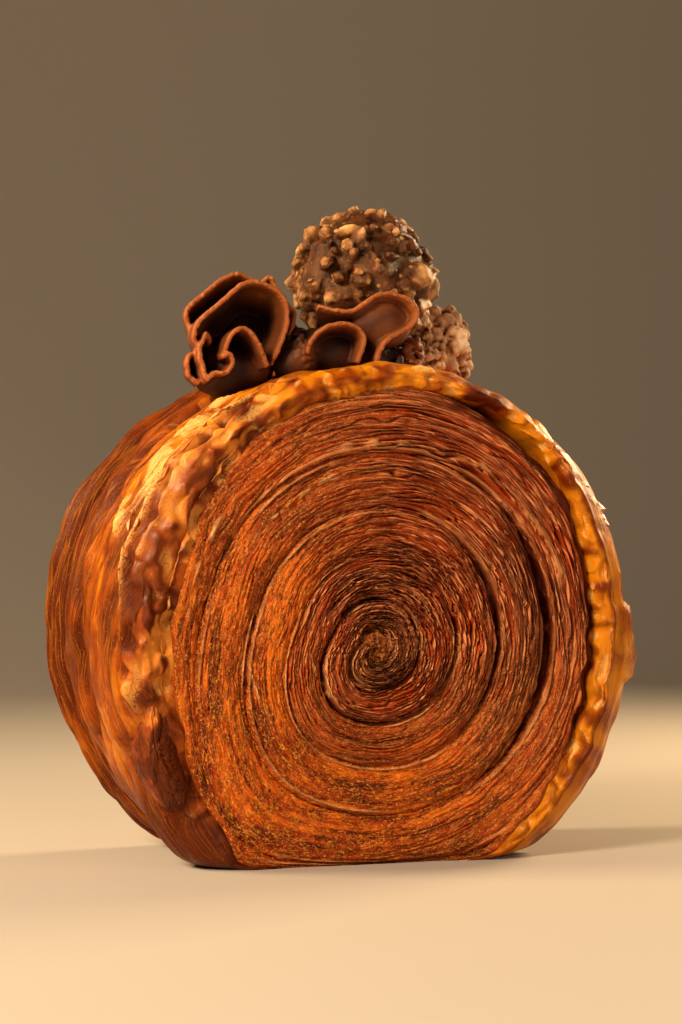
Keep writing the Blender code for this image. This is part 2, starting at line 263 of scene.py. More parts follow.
# %% [markdown]
# ## The wheel's shape
# These are the same rules as the frame's solid follows: an outline that sags a little, with a fuller heel
# under the tail, pressed flat where it stands. Any point of the wheel is then a share of the way from the
# spiral's eye to the outline, an angle clockwise from the top, and a place along the axis.

# %% The wheel's rules
WHEEL_HEIGHT, MEAN_RADIUS, SAG = 94.5 * MM, 50.6 * MM, 2.8 * MM
HEEL_ANGLE, HEEL_WIDTH, HEEL_BULGE = 219, 14, 6.3 * MM
HEEL_FRONT, HEEL_BACK = -16 * MM, 12 * MM
TOE_ANGLE, TOE_WIDTH, TOE_BULGE = 138, 15, 1.5 * MM
SETTLE, SETTLE_SHARE = 3 * MM, 0.15
CORE_X, CORE_Z = -2.5 * MM, 40.8 * MM
TURN_START, TURN_GROWTH, TURN_WIDENING = 0.053, 0.105, 0.0135
STEP_FROM, STEP_TO, STEADY_SHARE = 205, 287, 0.12
# The face's edge: angle, then share of the way out. The skin has no lip where the wheel stands.
FACE_EDGE = (
    (0, 0.885), (30, 0.95), (45, 0.94), (62, 0.89), (80, 0.85), (138, 0.86), (152, 0.92), (172, 0.985),
    (203, 0.985), (212, 0.94), (224, 0.87), (245, 0.845), (270, 0.823), (300, 0.825), (320, 0.87), (360, 0.885),
)
EDGE_ROUNDING, EDGE_TORN = 4, 0.016
FACE_LEVEL = 22.6 * MM


def on_circle(angle):
    """The angle as a place on a circle, so that noise has no seam where the angle starts again."""
    return np.cos(np.radians(angle)), np.sin(np.radians(angle))


def outline_radius(angle, y, share):
    heel = HEEL_BULGE * hump(angle, HEEL_ANGLE, HEEL_WIDTH) * smooth(HEEL_BACK, HEEL_FRONT, y)
    toe = TOE_BULGE * hump(angle, TOE_ANGLE, TOE_WIDTH)
    return MEAN_RADIUS - SAG * np.cos(np.radians(angle)) + (heel + toe) * share**4


def settled(z):
    """Height after the wheel's weight has pressed its lowest part flat."""
    squeezed = SETTLE * np.exp(np.minimum(z, SETTLE) / SETTLE - 1)
    squeezed = np.maximum(0, squeezed * (1 + SETTLE_SHARE) - SETTLE * SETTLE_SHARE)
    return np.where(z >= SETTLE, z, squeezed)


def wheel_point(share, angle, y, lift=0):
    turn = np.radians(angle)
    reach = share * outline_radius(angle, y, share) + lift
    x = CORE_X * (1 - share) + reach * np.sin(turn)
    z = CORE_Z + (WHEEL_HEIGHT / 2 - CORE_Z) * share + reach * np.cos(turn)
    return x, y + 0 * x, settled(z)


def step_in(angle):
    """How far the roll is ahead of an even spiral at this angle, in turns."""
    return (1 - STEADY_SHARE) * (smooth(STEP_FROM, STEP_TO, angle) - angle / 360)


def turn_share(turn):
    share = TURN_START + TURN_GROWTH * turn + TURN_WIDENING * turn * turn
    return np.where(turn > -0.54, np.maximum(share, 0), 0)


def face_edge(angle):
    """How far out the cut layers reach before the skin covers them."""
    stops, shares = zip(*FACE_EDGE)
    near = [np.interp((angle + shift) % 360, stops, shares) for shift in (-EDGE_ROUNDING, 0, EDGE_ROUNDING)]
    torn = EDGE_TORN * rough(*(11 * part for part in on_circle(angle)), seed=2)
    return sum(near) / 3 + torn * smooth(0, 0.1, 1 - near[1])


def crevice(angle):
    """Where the skin has parted from the layers, on the right: 1 in the deep part."""
    return span(angle, 45, 72, 112, 138)


# %% [markdown]
# ## The rolled layers
# Seen from the front, the roll is one long strip on edge, wound from the eye to the tail. It is modelled as
# that: a grid whose long side follows the spiral and whose short side crosses the strip's thirteen or so sheets.
# Each sheet is a low crest with a gap beside it. The gaps wander, open and close, as dough does when steam
# pushes the sheets apart, and between two turns of the strip the gap is deep.

# %% How the strip is wound
SHEETS, STRIP_WIDTH = 13, 8 * MM
STRIP_IN, STRIP_OUT = -1.3, 4.62  # turns from the eye
TURNS = np.linspace(STRIP_IN, STRIP_OUT, 2000)
CUT_DEPTH = 7 * MM


def along_strip(u):
    """Turns from the eye, spaced so that all steps along the strip are about as long."""
    length = np.cumsum(turn_share(TURNS + 0.5) + 0.03)
    return np.interp(u, (length - length[0]) / (length[-1] - length[0]), TURNS)


def strip_length(turns):
    """Length of the strip from its inner end, in metres."""
    length = np.cumsum(turn_share(TURNS + 0.5)) * 2 * np.pi * MEAN_RADIUS * (TURNS[1] - TURNS[0])
    return np.interp(turns, TURNS, length)


def strip_section(v, across):
    """The strip's outline on edge: across it on the show side, then down one wall, underneath and up the other.
    Gives the share of the way across, and the depth below the surface."""
    face = across / (across + 6)
    stops = [0] + [face + step / (across + 6) for step in range(6)] + [1]
    share = np.interp(v, stops, (0, 1, 1.0, 1.03, 1.03, -0.03, -0.03, 0))
    depth = np.interp(v, stops, (0, 0, 1.6, 3.4, 7, 7, 3.4, 0)) * MM
    return share, depth


def looseness(turns, angle):
    """1 where the sheets have parted and show as threads, at the top, the right and the eye, else 0."""
    return np.clip(1.25 * hump(angle, 48, 52) + smooth(1.9, 0.9, turns), 0, 1)


def sheet_relief(turns, share, angle, seed):
    """Height of the sheets' cut edges in millimetres, and how deep between them a point lies, from 0 to 1,
    which is painted as shade.
    """
    def vary(along, across, step):
        return rough(turns * along, across, seed=seed + step)

    layer = (turns + share) * SHEETS
    layer = layer + vary(13, layer * 0.35, 0) + vary(55, layer * 0.7, 1) * 0.55
    number = np.floor(layer)
    loose = looseness(turns, angle)
    parted = np.clip(0.08 + 0.40 * loose + 0.70 * vary(16, number * 3.3, 2), 0, 1)
    width = 0.30 + 0.16 * vary(31, number * 7.3, 3)
    crest = 1 - smooth(width * 0.15, width + 0.16, np.abs(layer - number - 0.5))
    standing = vary(19, number * 5.3, 4) * 0.45 + vary(110, number * 3.7, 5) * 0.4
    pits = (1 - 0.8 * loose) * smooth(0.1, 0.7, vary(190, layer * 1.7, 7))
    height = (crest - 1) * (0.1 + parted) * (0.45 + 1.1 * loose) + crest * standing * (0.6 + 0.5 * loose)
    # The second number is painted shade: darkest down between the sheets and in the sunk pits, less on standing
    # sheets.
    gap_shade = (1 - crest) * (0.15 + 0.75 * parted) * (0.6 + 0.4 * loose) - standing * 0.4 + 0.25 * pits
    return height - 0.3 * pits + 0.3, np.clip(gap_shade, 0, 1)


def groove_depth(turns, angle, seed):
    """How far two turns of the strip have come apart here: most at the right and near the eye."""
    right = span(angle, 10, 50, 105, 165)
    near_eye = 0.6 * smooth(2.3, 1.2, turns)
    patchy = np.clip(0.5 + 0.8 * rough(turns * 9, 0.5, seed=seed), 0, 1)
    return np.clip(0.18 + 0.8 * np.maximum(right, near_eye) * (0.3 + 0.7 * patchy) + 0.30 * patchy**3, 0, 1)


# Loose skin between two turns: from and to what angle, share of the way out at its start, and half its width.
LOOSE_SKIN = (
    (338, 372, 0.715, 0.016), (20, 100, 0.735, 0.014), (268, 304, 0.775, 0.013), (300, 345, 0.62, 0.010),
    (198, 256, 0.265, 0.007), (232, 262, 0.53, 0.006),
)
SKIN_DRIFT, SKIN_ENDS = 0.10, 9


def loose_skin(angle, way, seed):
    """1 on the scraps of smooth skin that show between the turns."""
    found = 0 * way
    for start, stop, share, half in LOOSE_SKIN:
        past = (angle - start) % 360
        inside = span(past, 0, SKIN_ENDS, stop - start - SKIN_ENDS, stop - start)
        middle = share + SKIN_DRIFT * past / 360 + 0.007 * rough(past / 7, share * 50, seed=seed)
        inside = inside * smooth(-0.25, 0.15, rough(past / 4.5, share * 40, seed=seed + 2))
        ragged = 0.7 + 0.6 * rough(past / 2.2, way * 90, seed=seed + 1)
        found = np.maximum(found, inside * smooth(1.15, 0.75, np.abs(way - middle) / (half * ragged)))
    return found


LEAST, HIDDEN_LEVEL = 1e-6, FACE_LEVEL - CUT_DEPTH / 2


def strip_face(side, start, stop, across, seed, cap_in=True, cap_out=True):
    """Places the strip from start to stop, shares of its length, on the show face (side -1) or the far one (1).
    The ends that meet no other piece are capped: they narrow down to the middle of the strip, inside the roll."""
    def place(u, v):
        turns = along_strip(start + (stop - start) * u)
        angle = (np.ceil(turns) - turns) * 360
        share, depth = strip_section(v, across)
        inner = np.clip(share, 0, 1)
        to_wall = np.abs(2 * inner - 1)
        relief, gap_shade = sheet_relief(turns, inner, angle, seed)
        apart = groove_depth(turns + np.round(inner), angle, seed + 7)
        closed = smooth(2.0 * MM, 3.4 * MM, depth)
        share = 0.5 + (share - 0.5) * (1 - 0.13 * smooth(0.45, 1.0, apart) * (1 - closed))
        wave = 0.016 * rough(turns * 11, seed + 0.5) + 0.008 * rough(turns * 37, seed + 0.7)
        way = turn_share(turns + share - step_in(angle) + wave)
        edge = face_edge(angle)
        beyond = np.maximum(0, way - edge)
        way = np.minimum(way, edge + 0.012)

        dome = 0.8 - (0.5 + 2.9 * apart) * to_wall**3
        broken = smooth(-0.1, 0.45, rough(turns * 11, np.round(inner) * 9.1, seed=seed + 14))
        brim = broken * bell(to_wall, 0.86, 0.045)
        lean = 0.5 * rough(turns * 5, inner * 1.5, seed=seed + 8)
        rind = smooth(0.035, 0.0, edge - way)
        low_lip = smooth(0.02, 0.08, 1 - edge)
        scrap_and_highlight = loose_skin(angle, way, seed + 20) if side < 0 else 0 * way
        creased = rough(turns * 34, way * 150, seed=seed + 11)
        creased = creased + 0.3 * rough(turns * 90, way * 330, seed=seed + 12)
        relief = relief * (1 - scrap_and_highlight) + scrap_and_highlight * (0.9 + 0.55 * creased)
        height = (dome + lean + relief * 0.95 + 0.75 * brim * (1 - scrap_and_highlight) - 0.5) * (1 - rind)
        height = height + rind * low_lip * (0.55 - 2.3 * crevice(angle))
        drop = np.minimum(beyond * (18 + 42 * crevice(angle)) * MM, 2 * MM)
        level = FACE_LEVEL + height * MM - depth - drop

        cap = np.where((u < LEAST) | (u > 1 - LEAST), 0, 1)
        cap = cap * (smooth(0, 0.006, u) if cap_in else 1) * (smooth(1, 0.994, u) if cap_out else 1)
        x, y, z = wheel_point(way, angle, side * (HIDDEN_LEVEL + (level - HIDDEN_LEVEL) * cap))
        hub_way = turn_share(turns + 0.5 - step_in(angle))
        hub_x, _, hub_z = wheel_point(hub_way, angle, side * HIDDEN_LEVEL)
        x, z = hub_x + (x - hub_x) * cap, hub_z + (z - hub_z) * cap

        number = np.floor((turns + inner) * SHEETS)
        loose = looseness(turns, angle)
        # Painted light: round the left of the face, partway out, the tone is raised as if lit from the left.
        painted_light_left = hump(angle, 268, 40) * bell(way, 0.38, 0.2)
        tone = (0.30 - 0.14 * loose) * rough(turns * 13, number * 5.7, seed=seed + 9)
        tone = 0.50 + tone + 0.32 * painted_light_left - 0.27 * loose + 0.24 * rough(turns * 4, inner * 2, seed=seed + 13)
        tone = tone - 0.20 * hump(angle, 290, 32) * smooth(0.5, 0.7, way)
        # Painted shade: darker down the strip's walls, in the grooves between turns and in the crevice where the
        # skin has parted; less on the scraps of loose skin and on the raised edges.
        wall_shade = smooth(0.0, 1.6 * MM, depth) + apart * smooth(0.55, 1.0, to_wall)
        wall_shade = wall_shade * (1 - 0.8 * scrap_and_highlight) * (1 - brim) + 0.5 * rind * crevice(angle)
        gap_shade = np.clip(gap_shade * (1 - scrap_and_highlight) + wall_shade, 0, 1)
        # Painted highlight: the raised edges of the turns take the paler colour of the loose skin.
        scrap_and_highlight = np.maximum(scrap_and_highlight, 0.75 * brim * (1 - rind))
        eye = smooth(1.2, 0.0, turns + inner)
        return (x, y, z), (gap_shade, tone, scrap_and_highlight, eye), (strip_length(turns), inner * STRIP_WIDTH, loose)

    return place


HALFWAY, OVERLAP = 0.5, 0.003
inner_half = strip_face(-1, 0, HALFWAY + OVERLAP, 78, 1, cap_out=False)
front_inner = shape_grid("front_inner", 1000, 84, inner_half)
front_outer = shape_grid("front_outer", 1000, 84, strip_face(-1, HALFWAY, 1, 78, 1, cap_in=False))
back_layers = shape_grid("back_layers", 1300, 62, strip_face(1, 0, 1, 56, 31))
print("wound", round(STRIP_OUT - STRIP_IN, 1), "turns of", SHEETS, "sheets each")


# %% [markdown]
# ## What the layers look like
# Baked layers are not one brown. The tops of the sheets catch the oven's heat and turn from gold to deep
# chestnut, and tiny dry flakes stay pale. The hollows between the sheets and the turns are painted darker and
# redder as shade, and the sheets' paler edges carry a painted highlight in part. Butter leaves a thin shine. The
# patterns are made once, as groups of shader nodes, and each material uses them with its own values.

# %% Helpers for materials
def new_group(name, inputs, outputs):
    """A group of shader nodes, the sockets that bring its inputs and those that take its outputs."""
    group = bpy.data.node_groups.new(name, "ShaderNodeTree")
    for label, kind, value in inputs:
        socket = group.interface.new_socket(name=label, in_out="INPUT", socket_type="NodeSocket" + kind)
        if value is not None:
            socket.default_value = value
    for label in outputs:
        group.interface.new_socket(name=label, in_out="OUTPUT", socket_type="NodeSocketFloat")
    return group, group.nodes.new("NodeGroupInput").outputs, group.nodes.new("NodeGroupOutput").inputs


def feed(socket, value):
    """Links another socket to this one, or sets it to a plain value."""
    if isinstance(value, bpy.types.NodeSocket):
        socket.id_data.links.new(value, socket)
    else:
        socket.default_value = value


def add(tree, kind, settings=(), **inputs):
    """A new node's outputs. Settings are its own properties; inputs are links or values for its sockets, given
    by name with underscores for spaces, or by number as at0, at1 and so on."""
    made = tree.nodes.new("ShaderNode" + kind)
    for name, value in dict(settings).items():
        setattr(made, name, value)
    for name, value in inputs.items():
        numbered = name.startswith("at") and name[2:].isdigit()
        feed(made.inputs[int(name[2:]) if numbered else name.replace("_", " ")], value)
    return made.outputs


def tree_of(*values):
    """The node tree of the first value that is a socket."""
    return next(value.id_data for value in values if isinstance(value, bpy.types.NodeSocket))


def combine(operation, *values):
    """A Math node. At least one of the values is a socket."""
    inputs = {f"at{number}": value for number, value in enumerate(values)}
    return add(tree_of(*values), "Math", {"operation": operation}, **inputs)[0]


def plus(first, second):
    return combine("ADD", first, second)


def minus(first, second):
    return combine("SUBTRACT", first, second)


def times(first, *others):
    for other in others:
        first = combine("MULTIPLY", first, other)
    return first


def mask(value, low, high):
    """0 where the value is at low and 1 where it is at high, with a soft step between."""
    soft = {"interpolation_type": "SMOOTHSTEP"}
    return add(tree_of(value), "MapRange", soft, Value=value, From_Min=low, From_Max=high)["Result"]


def faded(value, at_none, at_full):
    """A value from 0 to 1 stretched to run from at_none to at_full."""
    return add(tree_of(value), "MapRange", Value=value, To_Min=at_none, To_Max=at_full)["Result"]


def mix(factor, first, second):
    """Two colours mixed by a socket."""
    first, second = ((*colour, 1) if isinstance(colour, tuple) else colour for colour in (first, second))
    return add(factor.id_data, "Mix", {"data_type": "RGBA"}, at0=factor, at6=first, at7=second)[2]


def ramp(factor, *stops):
    """Colours at places from 0 to 1."""
    made = factor.id_data.nodes.new("ShaderNodeValToRGB")
    feed(made.inputs["Fac"], factor)
    points = made.color_ramp.elements
    while len(points) < len(stops):
        points.new(0.5)
    for point, (place, colour) in zip(points, stops):
        point.position = place
        point.color = (*colour, 1)
    return made.outputs["Color"]


def new_material(name, **values):
    """A Principled material and its shader."""
    made = bpy.data.materials.new(name)
    made.use_nodes = True
    shader = made.node_tree.nodes["Principled BSDF"]
    for label, value in values.items():
        shader.inputs[label.replace("_", " ")].default_value = value
    return made, shader


def cover(shader, colour, height, depth):
    """Gives a shader its colour, and bumps that are depth metres high."""
    feed(shader.inputs["Base Color"], colour)
    feed(shader.inputs["Normal"], add(shader.id_data, "Bump", Height=height, Distance=depth)["Normal"])


# %% Shared patterns
crumb, given, made = new_group(
    "dry_crumb",
    [("Place", "Vector", None), ("Size", "Float", 900.0), ("Cover", "Float", 0.5)],
    ["Spots", "Grain"],
)
cells = add(crumb, "TexVoronoi", Vector=given["Place"], Scale=given["Size"])["Distance"]
drift = add(crumb, "TexNoise", Vector=given["Place"], Scale=230.0, Detail=3.0)["Fac"]
grain = add(crumb, "TexNoise", Vector=given["Place"], Scale=2400.0, Detail=4.0, Roughness=0.65)["Fac"]
feed(made["Spots"], times(mask(cells, 0.42, 0.18), mask(drift, given["Cover"], 0.72)))
feed(made["Grain"], grain)

fibre, given, made = new_group(
    "dough_fibres",
    [("Trail", "Vector", None), ("Long", "Float", 160.0), ("Wide", "Float", 1700.0)],
    ["Threads", "Slits", "Streaks"],
)
stretch = add(fibre, "CombineXYZ", X=given["Long"], Y=given["Wide"], Z=1.0)["Vector"]
combed = add(fibre, "VectorMath", {"operation": "MULTIPLY"}, at0=given["Trail"], at1=stretch)["Vector"]


def shifted(scale, shift):
    return add(fibre, "VectorMath", {"operation": "MULTIPLY_ADD"}, at0=combed, at1=scale, at2=shift)["Vector"]


def waver(place, detail, roughness, distortion=0.0):
    values = {"Scale": 1.0, "Detail": detail, "Roughness": roughness, "Distortion": distortion}
    return add(fibre, "TexNoise", Vector=place, **values)["Fac"]


def strands(shift, lean, fine):
    """Thin lines that run along the dough, waver, meet and part again."""
    across = add(fibre, "SeparateXYZ", Vector=shifted((fine, fine, 1), shift))
    leaning = combine("MULTIPLY_ADD", across["X"], lean, across["Y"])
    placed = add(fibre, "CombineXYZ", X=across["X"], Y=leaning, Z=across["Z"])["Vector"]
    away = combine("ABSOLUTE", minus(waver(placed, 2.0, 0.5, 0.4), 0.5))
    return mask(away, 0.036, 0.004)


feed(made["Threads"], combine("MAXIMUM", strands((0, 0, 0), 0.35, 1.0), strands((7, 23, 3), -0.4, 1.3)))
feed(made["Slits"], mask(waver(shifted((1.2, 0.9, 1), (31, 17, 5)), 3.0, 0.55, 0.6), 0.53, 0.66))
feed(made["Streaks"], waver(shifted((0.35, 0.3, 1), (3, 51, 9)), 5.0, 0.6))

bake, given, made = new_group(
    "oven_browning",
    [("Place", "Vector", None), ("Tone", "Float", 0.5), ("Spread", "Float", 60.0)],
    ["Browning"],
)
cloud = add(bake, "TexNoise", Vector=given["Place"], Scale=given["Spread"], Detail=4.0, Roughness=0.6)["Fac"]
feed(made["Browning"], combine("MULTIPLY_ADD", minus(cloud, 0.5), 1.3, given["Tone"]))
print("groups:", crumb.name, fibre.name, bake.name)


# %% Helpers that use the patterns
def use(group, **inputs):
    """Places a group in the tree that its inputs come from, and gives its outputs."""
    placed = tree_of(*inputs.values()).nodes.new("ShaderNodeGroup")
    placed.node_tree = group
    for name, value in inputs.items():
        feed(placed.inputs[name], value)
    return placed.outputs


def browned(place, tone, spread):
    return use(bake, Place=place, Tone=tone, Spread=spread)["Browning"]


def read_place(shader):
    return add(shader.id_data, "TexCoord")["Object"]


def read_looks(shader):
    """The sockets that the materials read: place, trail, and the four numbers kept in 'bake'."""
    tree = shader.id_data
    kept = add(tree, "Attribute", {"attribute_name": "bake"})
    red, green, blue = add(tree, "SeparateColor", Color=kept["Color"])
    trail = add(tree, "Attribute", {"attribute_name": "trail"})["Vector"]
    return read_place(shader), trail, red, green, blue, kept["Alpha"]


# %% Cut layers
layers, shader = new_material(
    "cut_layers", Roughness=0.38, Specular_IOR_Level=0.35, Specular_Tint=(1, 0.72, 0.45, 1)
)
place, trail, gap_shade, tone, scrap_and_highlight, eye = read_looks(shader)
loose = add(shader.id_data, "SeparateXYZ", Vector=trail)["Z"]
# Long threads where the sheets are loose, short, matted ones where they stick.
combed_out = use(fibre, Trail=trail, Long=30.0, Wide=2000.0)
matted = use(fibre, Trail=trail, Long=330.0, Wide=1500.0)
threads, slits, streaks = (
    add(shader.id_data, "Mix", Factor=loose, A=matted[name], B=combed_out[name])["Result"]
    for name in ("Threads", "Slits", "Streaks")
)
streaky = times(minus(streaks, 0.5), faded(loose, 2.4, 1.1))
browning = plus(browned(place, tone, 50.0), streaky)
crust = ramp(browning, (0.05, (0.11, 0.006, 0.0006)), (0.5, (0.42, 0.038, 0.0010)), (0.95, (0.86, 0.16, 0.004)))
# Painted shade: the short slits and the hollows between the sheets and the turns are mixed to a dark red.
crust = mix(times(slits, 0.8), crust, (0.12, 0.006, 0.0004))
crust = mix(mask(gap_shade, 0.2, 1.0), crust, (0.095, 0.007, 0.0008))
crust = mix(times(eye, 0.8), crust, (0.055, 0.013, 0.004))
open_top = minus(1.0, mask(gap_shade, 0.45, 1.0))
# The golden threads are the sheets' paler edges and partly a painted highlight on them; they show only outside
# the painted shade.
golden = mix(loose, (0.98, 0.32, 0.03), (0.92, 0.32, 0.12))
crust = mix(times(threads, faded(loose, 0.62, 0.95), open_top), crust, golden)
grain = use(crumb, Place=place)["Grain"]
pale = times(mask(grain, 0.55, 0.66), open_top, faded(loose, 1.0, 0.35))
crust = mix(times(pale, 0.8), crust, (0.98, 0.40, 0.09))
film = ramp(browning, (0.1, (0.50, 0.13, 0.03)), (0.6, (0.92, 0.50, 0.20)))
# Paler film colour on the scraps of loose skin, partly a painted highlight, and on the raised edges of the turns,
# a painted highlight.
cover(shader, mix(times(scrap_and_highlight, 0.85), crust, film), plus(minus(threads, slits), grain), 0.22 * MM)
dress("spiral_roll", "baked_crust", layers, front_inner, front_outer, back_layers)

# %% [markdown]
# ## The eye of the roll
# The strip's inner end is too short to lie flat, so it crumples into a small knot. The knot is a ball whose
# surface is thrown into bumps, and the same ball, mirrored, closes the back.

# %% Knot in the eye
KNOT_SIZE, KNOT_LEVEL = (3.1 * MM, 2.4 * MM, 3.1 * MM), 20.2 * MM


def knot(name, side):
    piece = icosphere(name, 6)
    points = read_vectors(piece)
    x, _, z = points.T
    swirl = np.arctan2(z, x)
    bumps = rough(*(points * 3.2).T, seed=21) + 0.6 * rough(*(points * 7).T, seed=22)
    threads = wrinkles(np.cos(swirl) * 2, np.sin(swirl) * 2, np.hypot(x, z) * 7, seed=23)
    swell = 1 + 0.20 * bumps + 0.22 * threads
    middle = np.array((CORE_X, side * KNOT_LEVEL, CORE_Z))
    write_points(piece, points * np.array(KNOT_SIZE) * swell[:, None] + middle)
    # Painted shade: darker in the creases between the threads and on the low bumps.
    gap_shade = smooth(0.25, 0.0, threads) + smooth(0, -0.8, bumps)
    store(piece, (np.clip(gap_shade, 0, 1), 0.35 + 0.3 * bumps, 0 * gap_shade, 0.9 + 0 * gap_shade))
    lay_trail(piece, swirl * 2 * MM, x * 3 * MM, 0.5)
    sew(piece)
    dress("spiral_roll", "baked_crust", layers, piece)


knot("eye_knot_front", -1)
knot("eye_knot_back", 1)


# %% [markdown]
# ## The outside of the roll
# The skin round the outside is one sheet that has puffed up. At the front it curls over the cut edge as a
# smooth, blistered lip. Behind the lip, the strip's folds have slid apart into long flaky bands, then comes a
# deep groove, and at the very back a thin flap stands out. The skin is made as two rings that meet in the
# groove. Each is a grid whose long side goes round, and whose short side goes over the rim and returns inside.

# %% The rim's profile
# Each row: share of the way out over the lip, swelling to the sides, opening of the folds, place along the axis.
OVER_THE_RIM = (
    (0.00, 0.0, 0.0, -21.6), (0.22, 0.0, 0.0, -23.4), (0.55, 0.0, 0.0, -24.0), (0.85, 0.0, 0.0, -22.8),
    (1.00, 1.0, 0.4, -20.0), (1.00, 2.0, 1.2, -16.0), (1.00, 1.2, 0.6, -12.0), (1.00, 0.6, 1.8, -6.0),
    (1.00, 0.6, 2.6, 0.6), (1.00, 0.6, 1.2, 2.4), (1.00, 0.6, 3.8, 5.4), (1.00, 0.6, 4.2, 11.4),
    (1.00, 0.0, -2.4, 14.4), (1.00, 0.4, 3.6, 16.6), (1.00, 0.8, 6.2, 19.4), (1.00, 0.4, 4.0, 21.8),
    (0.85, 0.0, 0.0, 22.9), (0.50, 0.0, 0.0, 23.3), (0.20, 0.0, 0.0, 22.9), (0.00, 0.0, 0.0, 21.4),
)
GROOVE_ROW = 12
RIDGE_ANGLE, RIDGE_SPREAD, RIDGE_ELSEWHERE = 278, 42, 0.3
BAND_FROM, BAND_TO, BAND_LIFT = 244, 325, 1.6 * MM
LIP_WIDTH, LIP_ENDS, BACK_LIP = 8.6, 10.4, (54, 57)
CREASE_AT, GROOVE_AT, GROOVE_HALF = 36.0, 46.4, 2.0
PATCH_FROM, PATCH_TO, PATCH_START, PATCH_END = 286, 326, 12.0, 27
RING_RADIUS, RIM_LENGTH = 50, 0.314  # millimetres, and metres all the way round
OUTER_SHARE = 0.96  # of a ring's grid, the rest returns inside
STEPS = [math.hypot((b[0] - a[0]) * LIP_WIDTH, b[3] - a[3]) for a, b in zip(OVER_THE_RIM, OVER_THE_RIM[1:])]
WALK = np.cumsum([0] + STEPS)  # millimetres walked over the rim up to each row


def rim_lift(angle, sides, fold, y):
    """How far the skin swells out, in metres, before its relief."""
    opened = RIDGE_ELSEWHERE + (1 - RIDGE_ELSEWHERE) * hump(angle, RIDGE_ANGLE, RIDGE_SPREAD)
    band = span(angle, BAND_FROM - 3, BAND_FROM + 3, BAND_TO - 25, BAND_TO + 25)
    swollen = (sides * np.sin(np.radians(angle)) ** 2 + fold * opened) * MM
    return swollen + BAND_LIFT * band * smooth(-8, -14, y)


def hills_on(ring, walk):
    """Noise on the rim whose hills are so many millimetres wide around it and over it."""
    def hills(around, over, seed, make=rough):
        return make(ring[0] / around, ring[1] / around, walk / over, seed=seed)

    return hills


def rounded(stops, places):
    """Values between stops, with the corners rounded off a little."""
    fine = np.linspace(0, len(stops) - 1, 1200)
    values = np.interp(fine, range(len(stops)), stops)
    values[20:-20] = np.convolve(values, np.ones(41) / 41, "valid")
    return np.interp(places, fine, values)


def lip_relief(ring, walk, angle):
    """Height of the blisters on the lip in millimetres, and how deep in a crease a point lies, for painted shade.
    """
    left = span(angle, 246, 256, 326, 344)
    right = span(angle, 44, 66, 156, 176)
    top = 1 - left - right
    bend = 1.6 * hills_on(ring, walk)(4, 3, 31)
    hills = hills_on((ring[0] + bend, ring[1] + bend), walk + 0.8 * bend)
    running, second, crossing = hills(4.6, 2.3, 33), hills(2.4, 1.3, 34), hills(3.2, 9, 37)
    puffed = hills(4.4, 3.0, 35, wrinkles) - 0.35
    crimped = hills(4.0, 5.0, 36, wrinkles) - 0.35
    pinched = hills(3.4, 9, 30, wrinkles) - 0.4
    inner_part = smooth(5.6, 4.2, walk + bend * 0.4)
    step = bell(walk + bend * 0.4, 4.9, 0.5)
    on_left = 1.5 * running + 0.5 * second + 1.5 * puffed
    on_left = on_left + hump(angle, 262, 12) * (1.4 * crimped + 0.8 * second)
    on_right = inner_part * (1.9 * crimped + 0.8 * second) + (1 - inner_part) * 0.5 * crossing - 0.8 * step
    on_top = 1.7 * pinched + 0.5 * crossing + 0.4 * second
    crease = left * 0.9 * smooth(-0.15, -1.0, on_left) + top * 0.6 * smooth(-0.1, -0.8, on_top)
    crease = crease + right * (0.5 * inner_part * smooth(0.1, -0.6, on_right) + 0.5 * step)
    return left * on_left + right * on_right + top * on_top, np.clip(crease, 0, 1)


